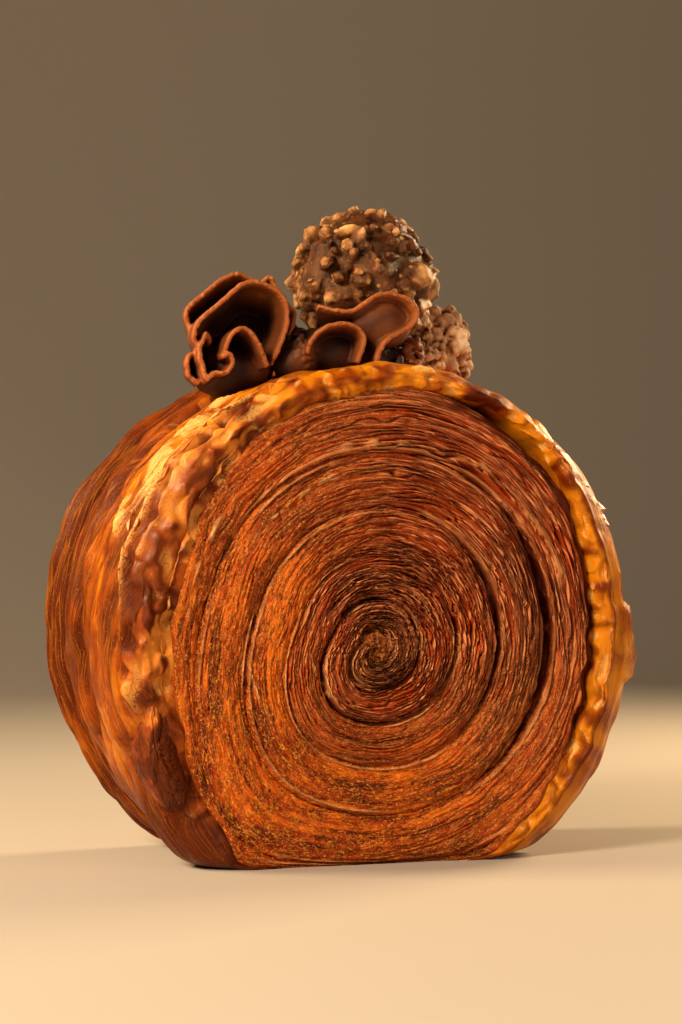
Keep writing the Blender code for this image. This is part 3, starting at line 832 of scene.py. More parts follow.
def rim_surface(ring, walk, angle):
    """Everything that lies on the rim: its height in millimetres, what the material reads, how far over the rim
    each point counts as lying along the folds, and where the skin is smooth."""
    hills = hills_on(ring, walk)
    left = span(angle, 238, 262, 318, 345)
    wander = 0.9 * rough(ring[0] / 9, ring[1] / 9, seed=40)
    wandering = walk + wander
    lip = np.maximum(smooth(LIP_ENDS + 0.9, LIP_ENDS - 0.9, wandering), smooth(*BACK_LIP, walk))
    bare = 1 - lip
    puff, crease = lip_relief(ring, walk, angle)

    # Folds: long backs with ripples on them, that run slanted on the left.
    slanted = walk + 0.2 * (angle - 280) * left * smooth(345, 335, angle) * smooth(42, 30, walk)
    along_folds = hills_on(ring, slanted)
    backs, ripples = along_folds(14, 2.7, 45, wrinkles), along_folds(9, 1.5, 46, wrinkles)
    swollen = hills(8, 9, 28)
    folds = 1.4 * backs + 0.7 * ripples - 0.85 + 0.3 * hills(4, 9, 47) + 0.7 * (1 - left) * swollen
    ridge_line = bell(wandering, LIP_ENDS + 0.4, 0.42) * span(angle, 252, 290, 322, 342)
    under_ridge = bell(wandering, LIP_ENDS - 0.9, 0.6) * span(angle, 252, 270, 322, 342)
    seam = bell(wandering, CREASE_AT, 0.8) * span(angle, 246, 262, 325, 345)
    groove = smooth(GROOVE_HALF + 1.4, GROOVE_HALF - 0.6, np.abs(walk - GROOVE_AT))
    groove = groove * span(angle, 246, 254, 305, 328)
    height = lip * puff + bare * folds + ridge_line - 0.8 * under_ridge - 1.2 * seam

    # Painted shade: darker in the creases and between the folds, in the groove and the seam, under the ridge,
    # and along the skin's edge where it meets the face.
    patchy = smooth(-0.2, 0.5, rough(ring[0] / 5, ring[1] / 5, seed=49))
    painted_shade = lip * crease + bare * (0.7 * smooth(0.24, 0.03, backs) + 0.35 * smooth(0.25, 0, ripples))
    painted_shade = painted_shade + smooth(1.3, 0.2, walk) * (0.15 + 0.5 * np.maximum(left * patchy, crevice(angle)))
    painted_shade = painted_shade + groove + 0.9 * seam + 0.7 * under_ridge

    # Tone: golden on backs and blisters, browner towards the back, darkest at the heel.
    tone = 0.42 + bare * (0.2 * hills(6, 2.5, 38) + 0.2 * backs + 0.3 * ripples - 0.12 - 0.10 * left)
    tone = tone + lip * ((0.46 + 0.2 * left) * hills(5, 11, 44) + 0.24 * puff + 0.10 * left)
    tone = tone + 0.28 * hump(angle, 5, 42) + 0.15 * hump(angle, 95, 50) * lip
    tone = tone + 0.16 * bare * (1 - left) * swollen
    tone = tone + 0.36 * hills(2.2, 12, 50) * lip * (hump(angle, 5, 40) + 0.9 * hump(angle, 110, 40))
    backwards = 0.36 * smooth(CREASE_AT - 2, CREASE_AT + 2, walk)
    backwards = backwards + 0.42 * smooth(GROOVE_AT, GROOVE_AT + 2, walk)
    tone = tone - backwards * left * smooth(57, 52, walk)
    tone = tone - 0.50 * span(angle, 190, 206, 230, 244) + 0.26 * lip * span(angle, 60, 90, 160, 176)

    # Pale: a torn chunk at the right, and painted highlights: on the flaky patch behind the lip, in part on the
    # ridge's edge, and on the tops of the blisters.
    patch = span(angle, PATCH_FROM - 5, PATCH_FROM + 3, PATCH_TO - 4, PATCH_TO + 6)
    patch = patch * span(walk, PATCH_START - 1, PATCH_START + 0.5, PATCH_END - 3, PATCH_END + 2)
    patch = patch * smooth(-0.3, 0.05, hills(4.5, 3, 39) + 0.4 * backs)
    layered = hills(4, 2.2, 48) * 4
    flaky_steps = np.floor(layered) + smooth(0.7, 1.0, layered % 1)
    torn = hills(1.6, 1.6, 29)
    chunk = span(angle + 1.6 * torn, 87, 89.5, 103.5, 106)
    chunk = chunk * smooth(6.6, 7.6, walk + 0.6 * torn) * smooth(15, 13, walk + torn)
    height = height + patch * (0.5 + 0.28 * flaky_steps) + chunk * (1.5 + 0.4 * torn)
    # Painted highlight on the blisters' tops, less on the left and on the right's outer band and none at the
    # heel; the torn chunk and a thin line by the face near the heel are paler.
    highlight_and_pale_bits = lip * (0.72 + 0.28 * hump(angle, 5, 45)) * smooth(-0.1, 0.8, puff)
    highlight_and_pale_bits = highlight_and_pale_bits * (1 - 0.5 * left) + 0.3 * chunk
    highlight_and_pale_bits = highlight_and_pale_bits * (1 - 0.9 * hump(angle, 62, 26) * smooth(3.2, 4.8, walk))
    highlight_and_pale_bits = highlight_and_pale_bits * (1 - span(angle, 190, 205, 244, 256))
    highlight_and_pale_bits = highlight_and_pale_bits + 0.6 * span(walk, 0.2, 0.7, 1.2, 2.2) * hump(angle, 222, 12)
    pale = patch * (0.62 + 0.25 * flaky_steps) + 0.62 * ridge_line + highlight_and_pale_bits

    burnt = lip * span(angle, 236, 262, 312, 342) * smooth(30, 20, walk)
    burnt = burnt + 0.7 * span(angle, 196, 206, 244, 256) * smooth(9.5, 6.5, walk)
    smooth_skin = lip * (1 - 0.4 * span(angle, 196, 206, 250, 262))
    smooth_skin = smooth_skin * (1 - 0.6 * span(angle, 50, 70, 160, 176) * smooth(3.5, 5, walk))
    return height, [np.clip(look, 0, 1) for look in (painted_shade, tone, pale, burnt)], slanted, smooth_skin


def rim_part(first, last, inside):
    """A closed ring: over the rim from one row to another, and back inside the roll by way of the given rows."""
    rows = OVER_THE_RIM[first:last + 1] + inside + OVER_THE_RIM[first:first + 1]
    outer, returning = last - first, len(inside) + 1

    def place(u, v):
        angle = 360 * u
        row = v / OUTER_SHARE * outer
        row = np.where(v < OUTER_SHARE, row, outer + (v - OUTER_SHARE) / (1 - OUTER_SHARE) * returning)
        over, sides, fold, y = (rounded([stop[column] for stop in rows], row) for column in range(4))
        walk = np.interp(first + np.minimum(row, outer), range(len(WALK)), WALK)
        ring = [RING_RADIUS * part for part in on_circle(angle)]
        edge = face_edge(angle)
        tucked = smooth(1.4, 0.0, walk) * span(angle, 215, 240, 328, 352)
        share = edge + (1 - edge) * (over - 0.22 * tucked)
        lift = rim_lift(angle, sides, fold, y)
        height, looks, slanted, puffed = rim_surface(ring, walk, angle)
        detail = height * MM * smooth(0.0, 0.16, over) * smooth(0.0, 0.07, 1 - edge)
        resting = smooth(0.2 * MM, 2 * MM, wheel_point(share, angle, y * MM, lift)[2])
        outward = smooth(0.5, 1.0, over)
        parted = crevice(angle) * smooth(2.6, 0.0, walk)
        bare = smooth(0.07, 0.02, 1 - edge) * smooth(14, 6, walk) * smooth(206, 198, angle)
        close = smooth(1.4, 0.0, walk) * span(angle, 200, 215, 330, 360)
        dip = hump(angle, 236, 9) * smooth(11, 8, walk)
        pushed = (y + 1.5 * parted + 1.6 * bare - 1.1 * close + 2.0 * dip) * MM
        pushed = pushed - np.sign(y) * detail * (1 - outward)
        points = wheel_point(share, angle, pushed, lift - 2.0 * MM * dip + detail * resting * outward)
        return points, looks, (angle / 360 * RIM_LENGTH, slanted * MM, puffed)

    return place


LAST_ROW = len(OVER_THE_RIM) - 1
FRONT_INSIDE = ((-0.4, 0, 0, 13.0), (-0.4, 0, 0, -12.0))
BACK_INSIDE = ((-0.4, 0, 0, 12.0), (-0.4, 0, -2.4, 14.0))
front_rim = shape_grid("front_rim", 1040, 92, rim_part(0, GROOVE_ROW, FRONT_INSIDE))
back_rim = shape_grid("back_rim", 640, 64, rim_part(GROOVE_ROW, LAST_ROW, BACK_INSIDE))

# %% Baked skin
skin, shader = new_material(
    "baked_skin", Specular_IOR_Level=0.22, Specular_Tint=(1, 0.66, 0.34, 1), Coat_Roughness=0.26,
    Subsurface_Weight=0.2, Subsurface_Scale=0.0015, Subsurface_Radius=(1.0, 0.35, 0.06),
)
place, trail, creased, tone, pale_and_highlights, burnt_part = read_looks(shader)
puffed = add(shader.id_data, "SeparateXYZ", Vector=trail)["Z"]
fibrous = faded(puffed, 1.0, 0.12)
fibres = use(fibre, Trail=trail, Long=26.0, Wide=1100.0)
streaky = combine("MULTIPLY_ADD", fibres["Streaks"], 0.6, -0.3)
browning = combine("MULTIPLY_ADD", streaky, fibrous, browned(place, tone, 130.0))
gold = ramp(browning, (0.1, (0.10, 0.008, 0.0003)), (0.5, (0.33, 0.055, 0.0006)), (0.95, (0.76, 0.25, 0.005)))
glaze = ramp(browning, (0.1, (0.085, 0.010, 0.0014)), (0.5, (0.28, 0.046, 0.0040)), (0.9, (0.74, 0.25, 0.03)))
colour = mix(burnt_part, gold, glaze)
# Painted shade: dark red in the creases, the grooves and seams and along the face's edge, and a little in the
# fine slits between the fibres.
colour = mix(mask(creased, 0.1, 1.0), colour, (0.085, 0.008, 0.0007))
colour = mix(times(fibres["Slits"], 0.25, fibrous), colour, (0.16, 0.018, 0.0009))
colour = mix(times(fibres["Threads"], 0.22, fibrous), colour, (0.80, 0.25, 0.015))
grain = use(crumb, Place=place)["Grain"]
# The pale flakes, with the painted highlights of the rim, broken up by the slits and the grain.
eaten = plus(times(fibres["Slits"], 0.7), mask(grain, 0.5, 0.3))
pale_and_highlights_broken = minus(pale_and_highlights, times(eaten, 0.6))
colour = mix(mask(pale_and_highlights_broken, 0.12, 0.8), colour, (0.88, 0.48, 0.13))
colour = mix(times(mask(grain, 0.58, 0.68), 0.25, fibrous), colour, (0.84, 0.36, 0.05))
feed(shader.inputs["Roughness"], faded(creased, 0.34, 0.7))
feed(shader.inputs["Coat Weight"], times(minus(1.0, creased), faded(puffed, 0.03, 0.20)))
relief = times(minus(fibres["Threads"], fibres["Slits"]), fibrous)
cover(shader, colour, plus(relief, grain), 0.13 * MM)
dress("spiral_roll", "baked_crust", skin, front_rim, back_rim)

# %% [markdown]
# ## Loose flakes
# Cutting and baking lift the skin's outermost film. Where the lip meets the layers and along the ridge behind
# it, the film has torn along its edge and curls up in crescents. That is a long ribbon that follows the edge and
# whose height comes and goes. A few separate flakes stand off the outline: small curved patches with ragged
# edges, only a few faces large.

# %% Torn film
def rim_spot(angle, walk, lift):
    """Points over the rim, lift millimetres above it."""
    row = np.interp(walk, WALK, range(len(WALK)))
    over, sides, fold, y = (np.interp(row, range(len(WALK)), column) for column in zip(*OVER_THE_RIM))
    edge = face_edge(angle)
    facing = (1 - over) * np.where(y < 0, 1, -1)
    raised = rim_lift(angle, sides, fold, y) + over * lift * MM
    return wheel_point(edge + (1 - edge) * over, angle, (y - facing * lift) * MM, raised)


def torn_film(name, start, stop, walk, highest, lean, seed):
    """A ribbon from start to stop that stands up in crescents, highest millimetres tall, and leans over."""
    def place(u, v):
        angle = start + (stop - start) * u
        tall = smooth(0.05, 0.6, rough(angle / 2.6, 0.5, seed=seed))
        tall = tall + 0.35 * rough(angle / 0.8, 0.5, seed=seed + 1)
        rise = highest * np.maximum(tall, 0.02) * span(u, 0, 0.04, 0.96, 1) * v
        wavering = walk + 0.5 * rough(angle / 4, 0.5, seed=seed + 2) + lean * rise * v
        wavering = wavering + 0.3 * rough(angle / 1.2, v, seed=seed + 3) * v
        points = rim_spot(angle, wavering, rise * 0.8 - 0.5 * (1 - v) + 0.3)
        return points, (v, 0 * v, 0 * v), (0 * v, 0 * v)

    film = shape_grid(name, 420, 7, place)
    change(film, "SOLIDIFY", thickness=FILM_THICKNESS)
    return film


FILM_THICKNESS, FLAKE_THICKNESS = 0.16 * MM, 0.12 * MM
films = [
    torn_film("film_by_face", 262, 316, 1.6, 1.9, -0.5, 131),
    torn_film("film_on_ridge", 282, 338, 10.6, 1.0, -0.7, 141),
    torn_film("film_right", 40, 128, 4.6, 0.8, -0.6, 161),
]

# %% Flakes
flake_draw = random.Random(5)
# From and to what angle, first and last millimetre over the rim, how many, how long, how far they stand up.
FLAKES = (
    (286, 326, 12.5, 26, 16, 5.0, 0.3), (52, 80, 8.0, 12.0, 7, 3.2, 0.7), (90, 103, 9.0, 12.0, 5, 4.4, 1.0),
    (30, 130, 1.0, 6.0, 5, 2.6, 0.5), (128, 165, 2.0, 9.0, 6, 2.4, 0.5),
)
FLAKE_ACROSS, FLAKE_ALONG = 4, 7


def flake_points(start, stop, low, high, longest, standing):
    """The points of one small curved patch, row by row along it."""
    angle, walk = flake_draw.uniform(start, stop), flake_draw.uniform(low, high)
    length, width = flake_draw.uniform(0.5, 1.0) * longest, flake_draw.uniform(0.5, 1.3)
    turned, curl = flake_draw.uniform(-0.4, 0.4), flake_draw.uniform(0.4, 1.0) * standing
    bend = flake_draw.uniform(-0.9, 0.9)
    for along in range(FLAKE_ALONG):
        reach = along / (FLAKE_ALONG - 1) - 0.5
        slim = math.sqrt(max(0.04, 1 - 4 * reach * reach)) * flake_draw.uniform(0.5, 1.1)
        for step in range(FLAKE_ACROSS):
            across = step / (FLAKE_ACROSS - 1)
            side = (across - 0.5) * width * slim + bend * (reach * reach - 0.1) * 2
            forward = reach * length + flake_draw.uniform(-0.12, 0.12)
            lift = curl * (reach + 0.5) ** 2 + curl * across**2 - 0.5
            there = angle + math.degrees((forward * math.cos(turned) - side * math.sin(turned)) / RING_RADIUS)
            spot = rim_spot(there, walk + forward * math.sin(turned) + side * math.cos(turned), lift)
            yield [float(part) for part in spot]


corners, faces = [], []
for start, stop, low, high, count, longest, standing in FLAKES:
    for _ in range(count):
        for along, across in product(range(FLAKE_ALONG - 1), range(FLAKE_ACROSS - 1)):
            corner = len(corners) + along * FLAKE_ACROSS + across
            faces.append((corner, corner + 1, corner + FLAKE_ACROSS + 1, corner + FLAKE_ACROSS))
        corners += flake_points(start, stop, low, high, longest, standing)
mesh = bpy.data.meshes.new("loose_flakes")
mesh.from_pydata(corners, [], faces)
flakes = bpy.data.objects.new("loose_flakes", mesh)
bpy.context.scene.collection.objects.link(flakes)
activate(flakes)
change(flakes, "SOLIDIFY", thickness=FLAKE_THICKNESS)
sew(flakes, 0.001 * MM)

# %% Dry flake
dry_flake, shader = new_material("dry_flake", Roughness=0.4, Subsurface_Weight=0.2, Subsurface_Scale=0.001)
place = read_place(shader)
browning = browned(place, 0.5, 260.0)
golden = ramp(browning, (0.1, (0.30, 0.05, 0.003)), (0.5, (0.66, 0.20, 0.02)), (0.9, (0.92, 0.58, 0.24)))
cover(shader, golden, use(crumb, Place=place)["Grain"], 0.1 * MM)
dress("spiral_roll", "baked_crust", dry_flake, flakes, *films)

# %% [markdown]
# ## The tail
# The strip's end stands away from the roll at the lower left, so the oven reaches it on all sides and it burns
# almost black. It is a blunt end that grows out of the lip, and the edges of its sheets still show as fine
# curved lines. A sphere is stretched along the rim, sunk at its upper end and combed into sheets. It wears the
# skin's material, with its tone taken down to nearly black at the free end.

# %% Tail end
TAIL_ANGLE, TAIL_RADIUS, TAIL_Y = 242, 52.6 * MM, -19.6 * MM
TAIL_LENGTH, TAIL_WIDTH, TAIL_HEIGHT = 26 * MM, 10.0 * MM, 8.0 * MM
TAIL_SINK, TAIL_LEAN = 5.2 * MM, 2.6 * MM  # how far its upper end dives under the lip and leans back

deselect()
bpy.ops.mesh.primitive_uv_sphere_add(segments=220, ring_count=180, radius=0.5)
tail_end = named("tail_end")
ball_point = read_vectors(tail_end)
side, back, up = ball_point.T
sine, cosine = on_circle(TAIL_ANGLE)[::-1]
outward, onward = np.array((sine, 0, cosine)), np.array((cosine, 0, -sine))
slim = np.sqrt(1 + 4 * up**2)  # blunter ends than an egg's
sheet_line = np.hypot(side + 0.2, up - 0.12) * 25 + 1.1 * rough(side * 8, up * 8, seed=51)
sheets_shown = smooth(0.12, -0.05, side) * span(up, -0.42, -0.25, 0.05, 0.22)
comb = np.abs((sheet_line % 1) - 0.5) * 2
bumps = 0.9 * rough(*(ball_point * 5).T, seed=52) + 0.6 * rough(*(ball_point * 11).T, seed=53)
lumps = wrinkles(*(ball_point * 7).T, seed=54)
fine = rough(*(ball_point * 34).T, seed=55)
swell = (bumps * 0.4 + 0.6 * (lumps - 0.4) - 0.5 * comb * sheets_shown + 0.22 * fine) * MM
lengthwise, sideways = up * TAIL_LENGTH, side * TAIL_HEIGHT * slim
points = np.outer(lengthwise, onward) + np.outer(sideways - TAIL_SINK * smooth(-0.15, 0.5, up), outward)
points[:, 1] += back * TAIL_WIDTH * slim + TAIL_LEAN * smooth(-0.1, 0.5, up)
points += ball_point * 2 * swell[:, None] + outward * TAIL_RADIUS + np.array((0, TAIL_Y, WHEEL_HEIGHT / 2))
write_points(tail_end, points)
charred = smooth(0.30, 0.0, up + 0.10 * bumps) * (1 - 0.6 * smooth(0.12, 0.42, side + 0.08 * bumps))
# Painted shade: darker in the lines between the sheets, in the creases between the lumps and on the low spots of
# the charred end.
lines = comb * sheets_shown + 0.7 * smooth(0.3, 0.05, lumps) + 0.5 * smooth(0, -0.7, fine) * charred
toast = 0.56 - 0.84 * charred + 0.14 * bumps + 0.14 * fine
store(tail_end, (0.8 * np.clip(lines, 0, 1), np.clip(toast, 0, 1), 0 * comb, 1 + 0 * comb))
lay_trail(tail_end, lengthwise, sideways, 0.95)
sew(tail_end)
dress("spiral_roll", "baked_crust", skin, tail_end)

# %% [markdown]
# ## Piped cream
# A ribbon nozzle lays the cream down in folds: each fold is a thin cup that is open to the front, and all the
# folds of one dollop run back to the place where the nozzle first touched. A fold is a grid that runs along its
# free edge one way and back to that root the other way. Solidify gives it the ribbon's thickness. The folds and
# a soft heap behind them are then joined, and a voxel remesh melts them into one body, as soft cream melts.

# %% Folds of cream
RIM_WALL, DEEP_WALL = 0.72 * MM, 2.3 * MM
ROSETTE_ROOT = (-19, 5, 96)
ROSETTE_RIMS = (
    ((-34.3, -11, 98.5), (-35.8, -12, 100), (-34.9, -13, 103), (-31.5, -13, 105.7), (-28.3, -13, 108.2),
     (-26.3, -13, 110.3), (-22.8, -13, 110.9), (-19, -13, 109.2), (-17, -13, 106), (-17.3, -13, 102.3),
     (-19, -13, 98), (-20.3, -12, 95)),
    ((-30, -13, 96.5), (-29.6, -14, 98.3), (-29, -15, 100.2), (-27, -15, 101.8), (-25.2, -15, 101),
     (-23.4, -15, 98.5), (-21.4, -14, 94.5)),
    ((-31.5, -10, 99), (-33, -12, 100.8), (-34.4, -12.5, 98), (-34.4, -13, 95.5), (-33.3, -13.5, 92)),
    ((-33.4, -13.5, 91.6), (-32, -14, 93.2), (-29.8, -14.5, 93), (-28.4, -14.5, 94.8), (-29, -14.5, 96.8),
     (-30.8, -14.5, 96.2)),
    ((-33.8, -9, 97), (-35.4, -9.5, 96.8), (-36.1, -9.5, 95.2), (-35.6, -9.5, 92.8), (-33.8, -10, 91.2)),
    ((-34.6, -7, 101.5), (-35.8, -7, 104.8), (-33.6, -7, 107.4), (-30.9, -7, 109.4), (-28.8, -7, 111.4),
     (-25.6, -7, 112.9), (-22.4, -7, 111.8), (-20.5, -8, 109.5)),
    ((-21, -8, 110.8), (-19.4, -9, 112.4), (-17.9, -9, 109.6), (-16, -9, 107.3), (-14.4, -9, 105.6),
     (-15, -9, 102.5), (-16.6, -9, 99), (-17.3, -9, 95)),
)
ROSETTE_MOUNDS = (((-25, -1, 95), (8, 9, 6.5)), ((-21, 2, 100), (5.5, 6, 8)))
RUFFLE_ROOT = (-1, -5, 97)
RUFFLE_RIMS = (
    ((-11, -13, 106.5), (-8.5, -14.5, 105.6), (-5, -15.5, 105.2), (-2.5, -16, 106.8), (0, -16, 108.7),
     (3.5, -16, 109.2), (6.8, -16, 108), (8.6, -16, 105.4), (7.2, -16, 103), (4.2, -16.5, 101.4),
     (1.6, -17, 100.2), (0.2, -17, 98), (-0.4, -16.5, 95.5)),
    ((-13.6, -14.5, 97.2), (-13.2, -15.5, 99.4), (-12, -16.5, 101.3), (-9.8, -17.3, 102.4), (-7, -17.5, 102.9),
     (-4.4, -17.5, 102.3), (-3, -17.5, 100.6), (-3.2, -17.3, 98.6), (-4.2, -17, 95.5)),
)
RUFFLE_MOUNDS = (
    ((1, -3, 96), (12, 10, 5)), ((-6, -6, 98), (8, 7, 5)), ((2.2, -12.6, 103.9), (6.5, 2.5, 4.7)),
    ((-14, -8, 96), (4.5, 4.5, 4)),
)
# Where cream tore off: centre and size of a heap of crumbs, and how many.
ROSETTE_TORN = (((-15.2, -5, 101), (2.6, 3, 4.5), 60), ((-18.5, -4, 110), (1.6, 2, 1.8), 14))
RUFFLE_TORN = (
    ((-13, -8, 100), (3.4, 3, 2.6), 60), ((-13.2, -10, 96.8), (2.8, 2.6, 2.6), 60),
    ((9.2, -9, 98), (3.2, 3.4, 3.6), 80), ((6, -12.5, 95.8), (4.5, 2, 1.6), 45),
)


def through(points, u):
    """Places along a soft curve through the given points, u running evenly along it from 0 to 1."""
    reach = np.concatenate(([0], np.cumsum(np.linalg.norm(np.diff(points, axis=0), axis=1))))
    even = np.linspace(0, reach[-1], 301)
    curve = np.stack([np.interp(even, reach, column) for column in points.T], 1)
    window = np.hanning(31) / np.hanning(31).sum()
    for _ in range(2):
        padded = np.vstack((2 * curve[0] - curve[15:0:-1], curve, 2 * curve[-1] - curve[-2:-17:-1]))
        curve = np.stack([np.convolve(column, window, "valid") for column in padded.T], 1)
    return np.stack([np.interp(u * 300, range(301), column) for column in curve.T], 1)


def cream_fold(name, rim, root, seed):
    """One fold, from its free edge back to the root, thin at the edge and thicker inside."""
    rim, root = np.array(rim, float), np.array(root, float)

    def place(u, v):
        turn = np.radians(86) * v
        spread = np.stack((np.cos(turn), 1 - np.sin(turn), np.cos(turn)), 1)
        points = root + (through(rim, u) - root) * spread
        ripple = 0.22 * rough(u * 9, v * 1.5, seed=seed) + 0.06 * rough(u * 70, v * 2, seed=seed + 1)
        flare = 0.3 * smooth(0.09, 0, v)
        away = (points - root) / np.linalg.norm(points - root, axis=1)[:, None]
        points = points + away * (ripple + flare)[:, None]
        points[:, 1] -= 0.16 * rough(u * 40, seed=seed + 2) * smooth(0.1, 0, v)
        return tuple((points * MM).T), (v, 0 * v, 0 * v), (0 * v, 0 * v)

    fold = shape_grid(name, 120, 36, place)
    looks = np.empty(len(fold.data.vertices) * 4)
    fold.data.attributes["bake"].data.foreach_get("color", looks)
    thick = fold.vertex_groups.new(name="thick")
    for index, depth in enumerate(looks[::4]):
        thick.add([index], min(1, 2.2 * depth), "REPLACE")
    change(
        fold, "SOLIDIFY", thickness=DEEP_WALL, offset=0, vertex_group="thick",
        thickness_vertex_group=RIM_WALL / DEEP_WALL,
    )
    return fold


def heap(name, centre, size, roughness, seed, grain=4.5, ribs=0):
    """An egg-shaped heap. Ribs, in millimetres, are the furrows that a star nozzle leaves on its far side."""
    mound = icosphere(name, 5)
    points = read_vectors(mound)
    swell = roughness * rough(*(points * np.array(size) / grain).T, seed=seed)
    furrows = np.abs(np.sin(6 * np.arctan2(points[:, 2], points[:, 0]))) ** 0.6 - 0.6
    swell = swell + ribs * furrows * smooth(0.1, 0.5, points[:, 1])
    write_points(mound, (np.array(centre) + points * (np.array(size) + swell[:, None])) * MM)
    return mound


def melt(name, pieces, voxel, smoothing):
    """Joins pieces into one closed body with soft inner corners."""
    body = joined(name, pieces)
    change(body, "REMESH", mode="VOXEL", voxel_size=voxel)
    change(body, "SMOOTH", factor=0.5, iterations=smoothing)
    bpy.ops.object.shade_smooth()
    return body


def crumbs(centre, size, count, small, large):
    """Small spheres in an egg-shaped heap, most of them near its surface."""
    made = []
    for _ in range(count):
        direction = Vector([draw.gauss(0, 1) for _ in range(3)]).normalized()
        reach = draw.uniform(0.55, 1.0) ** 0.5
        spot = Vector([c + d * s * reach for c, d, s in zip(centre, direction, size)]) * MM
        bpy.ops.mesh.primitive_ico_sphere_add(
            subdivisions=2, radius=draw.uniform(small, large) * MM, location=spot
        )
        made.append(bpy.context.object)
    return made


def from_rims(points, rims):
    """Millimetres from each point to the nearest free edge."""
    nearest = np.full(len(points), 1e9)
    for rim in rims:
        for spot in through(np.array(rim, float), np.linspace(0, 1, 45)):
            nearest = np.minimum(nearest, ((points / MM - spot) ** 2).sum(1))
    return np.sqrt(nearest)


def dollop(name, rims, root, mounds, torn, seed):
    pieces = [cream_fold(f"{name}_{n}", rim, root, seed + n) for n, rim in enumerate(rims)]
    for number, (centre, size) in enumerate(mounds):
        pieces.append(heap(f"{name}_heap_{number}", centre, size, 0.8, seed + number, ribs=0.9))
    for centre, size, count in torn:
        pieces += crumbs(centre, size, count, 0.35, 1.0)
    body = melt(name, pieces, CREAM_VOXEL, 3)
    points = read_vectors(body)
    away = from_rims(points, rims)
    # Painted shade deep in the folds, away from their free edges and not on the right, and painted light along
    # the free edges.
    fold_shade = smooth(0.8, 6.0, away) * smooth(7.5, 6.0, points[:, 0] / MM)
    store(body, (fold_shade, smooth(1.7, 0.5, away), 0 * away, 0 * away))
    grainy = rough(*(points / MM / 0.75).T, seed=seed + 20)
    grainy = grainy + 0.7 * rough(*(points / MM / 0.4).T, seed=seed + 21)
    standing = 0.12 * MM * grainy * smooth(2.5, 0.6, away)
    write_points(body, points + read_vectors(body, "normal") * standing[:, None])
    return body


CREAM_VOXEL = 0.22 * MM
draw = random.Random(11)
rosette = dollop("piped_rosette", ROSETTE_RIMS, ROSETTE_ROOT, ROSETTE_MOUNDS, ROSETTE_TORN, 61)
ruffle = dollop("piped_ruffle", RUFFLE_RIMS, RUFFLE_ROOT, RUFFLE_MOUNDS, RUFFLE_TORN, 81)

# %% Chocolate cream
cream, shader = new_material(
    "chocolate_cream", Roughness=0.52, Specular_IOR_Level=0.3,
    Subsurface_Weight=0.2, Subsurface_Scale=0.002, Subsurface_Radius=(1.0, 0.28, 0.08),
)
place, _, depth, lit_rim, _, _ = read_looks(shader)
brown = ramp(browned(place, 0.5, 120.0), (0.2, (0.15, 0.036, 0.008)), (0.8, (0.27, 0.074, 0.017)))
# Painted light along the folds' free edges, and painted shade deep inside the folds.
brown = mix(times(lit_rim, 0.7), brown, (0.44, 0.13, 0.030))
brown = mix(depth, brown, (0.030, 0.006, 0.0015))
cover(shader, brown, use(crumb, Place=place)["Grain"], 0.10 * MM)
dress("cream_rosette", "chocolate_cream", cream, rosette)
dress("cream_ruffle", "chocolate_cream", cream, ruffle)

# %% [markdown]
# ## The nut ball
# Chopped roasted nuts are rolled into a chocolate shell, and a thin coat of milk chocolate runs over most of
# them. So the ball is made twice over: nuts that the chocolate covers are melted into the ball, and nuts that
# stick out stay separate and keep their broken corners.

# %% Ball and nuts
BALL_CENTRE, BALL_RADIUS = Vector((3.0, -0.5, 113.4)) * MM, 12.9 * MM
BALL_VOXEL = 0.24 * MM


def on_ball(count, lowest):
    """Directions spread over the ball, each moved a little."""
    golden = math.pi * (3 - math.sqrt(5))
    for index in range(count):
        height = lowest + (1 - lowest) * (index + 0.5) / count
        ring = math.sqrt(1 - height * height)
        spot = Vector((ring * math.cos(golden * index), ring * math.sin(golden * index), height))
        yield (spot + Vector([draw.uniform(-0.2, 0.2) for _ in range(3)])).normalized()


def nut_bit(direction, size, sunk):
    """A broken piece of nut: a small icosphere, stretched, with its corners pushed in or out."""
    nut = icosphere("nut_bit", 2)
    spin = Vector([draw.uniform(-1, 1) for _ in range(3)]).to_track_quat("Z", "Y").to_matrix()
    stretch = Matrix.Diagonal([size * draw.uniform(0.55, 1.35) for _ in range(3)])
    place = BALL_CENTRE + direction * (BALL_RADIUS - sunk)
    for point in nut.data.vertices:
        broken = point.co * draw.uniform(0.72, 1.15)
        point.co = place + spin @ (stretch @ broken)
    return nut


def nut_bits(count, lowest, small, large, sunk):
    return [nut_bit(way, draw.uniform(small, large) * MM, sunk * MM) for way in on_ball(count, lowest)]


coated = [heap("ball_heart", BALL_CENTRE / MM, [BALL_RADIUS / MM] * 3, 2.2, 91, 4.6)]
coated += nut_bits(190, -0.8, 0.7, 2.7, 0.1)
ball_coat = melt("nut_ball_coat", coated, BALL_VOXEL, 1)
from_centre = np.linalg.norm(read_vectors(ball_coat) / MM - np.array(BALL_CENTRE / MM), axis=1)
# The coat is painted darker down between the nuts as shade; their tops are lighter, partly the nuts' own colour
# and partly painted light.
store(ball_coat, (smooth(13.0, 15.2, from_centre),))
nuts = joined("roasted_nuts", nut_bits(30, -0.35, 0.6, 1.3, -0.8))

# %% Milk chocolate and nuts
chocolate, shader = new_material(
    "milk_chocolate", Roughness=0.24, Specular_IOR_Level=0.38, Specular_Tint=(1, 0.72, 0.46, 1)
)
place, _, high_up, _, _, _ = read_looks(shader)
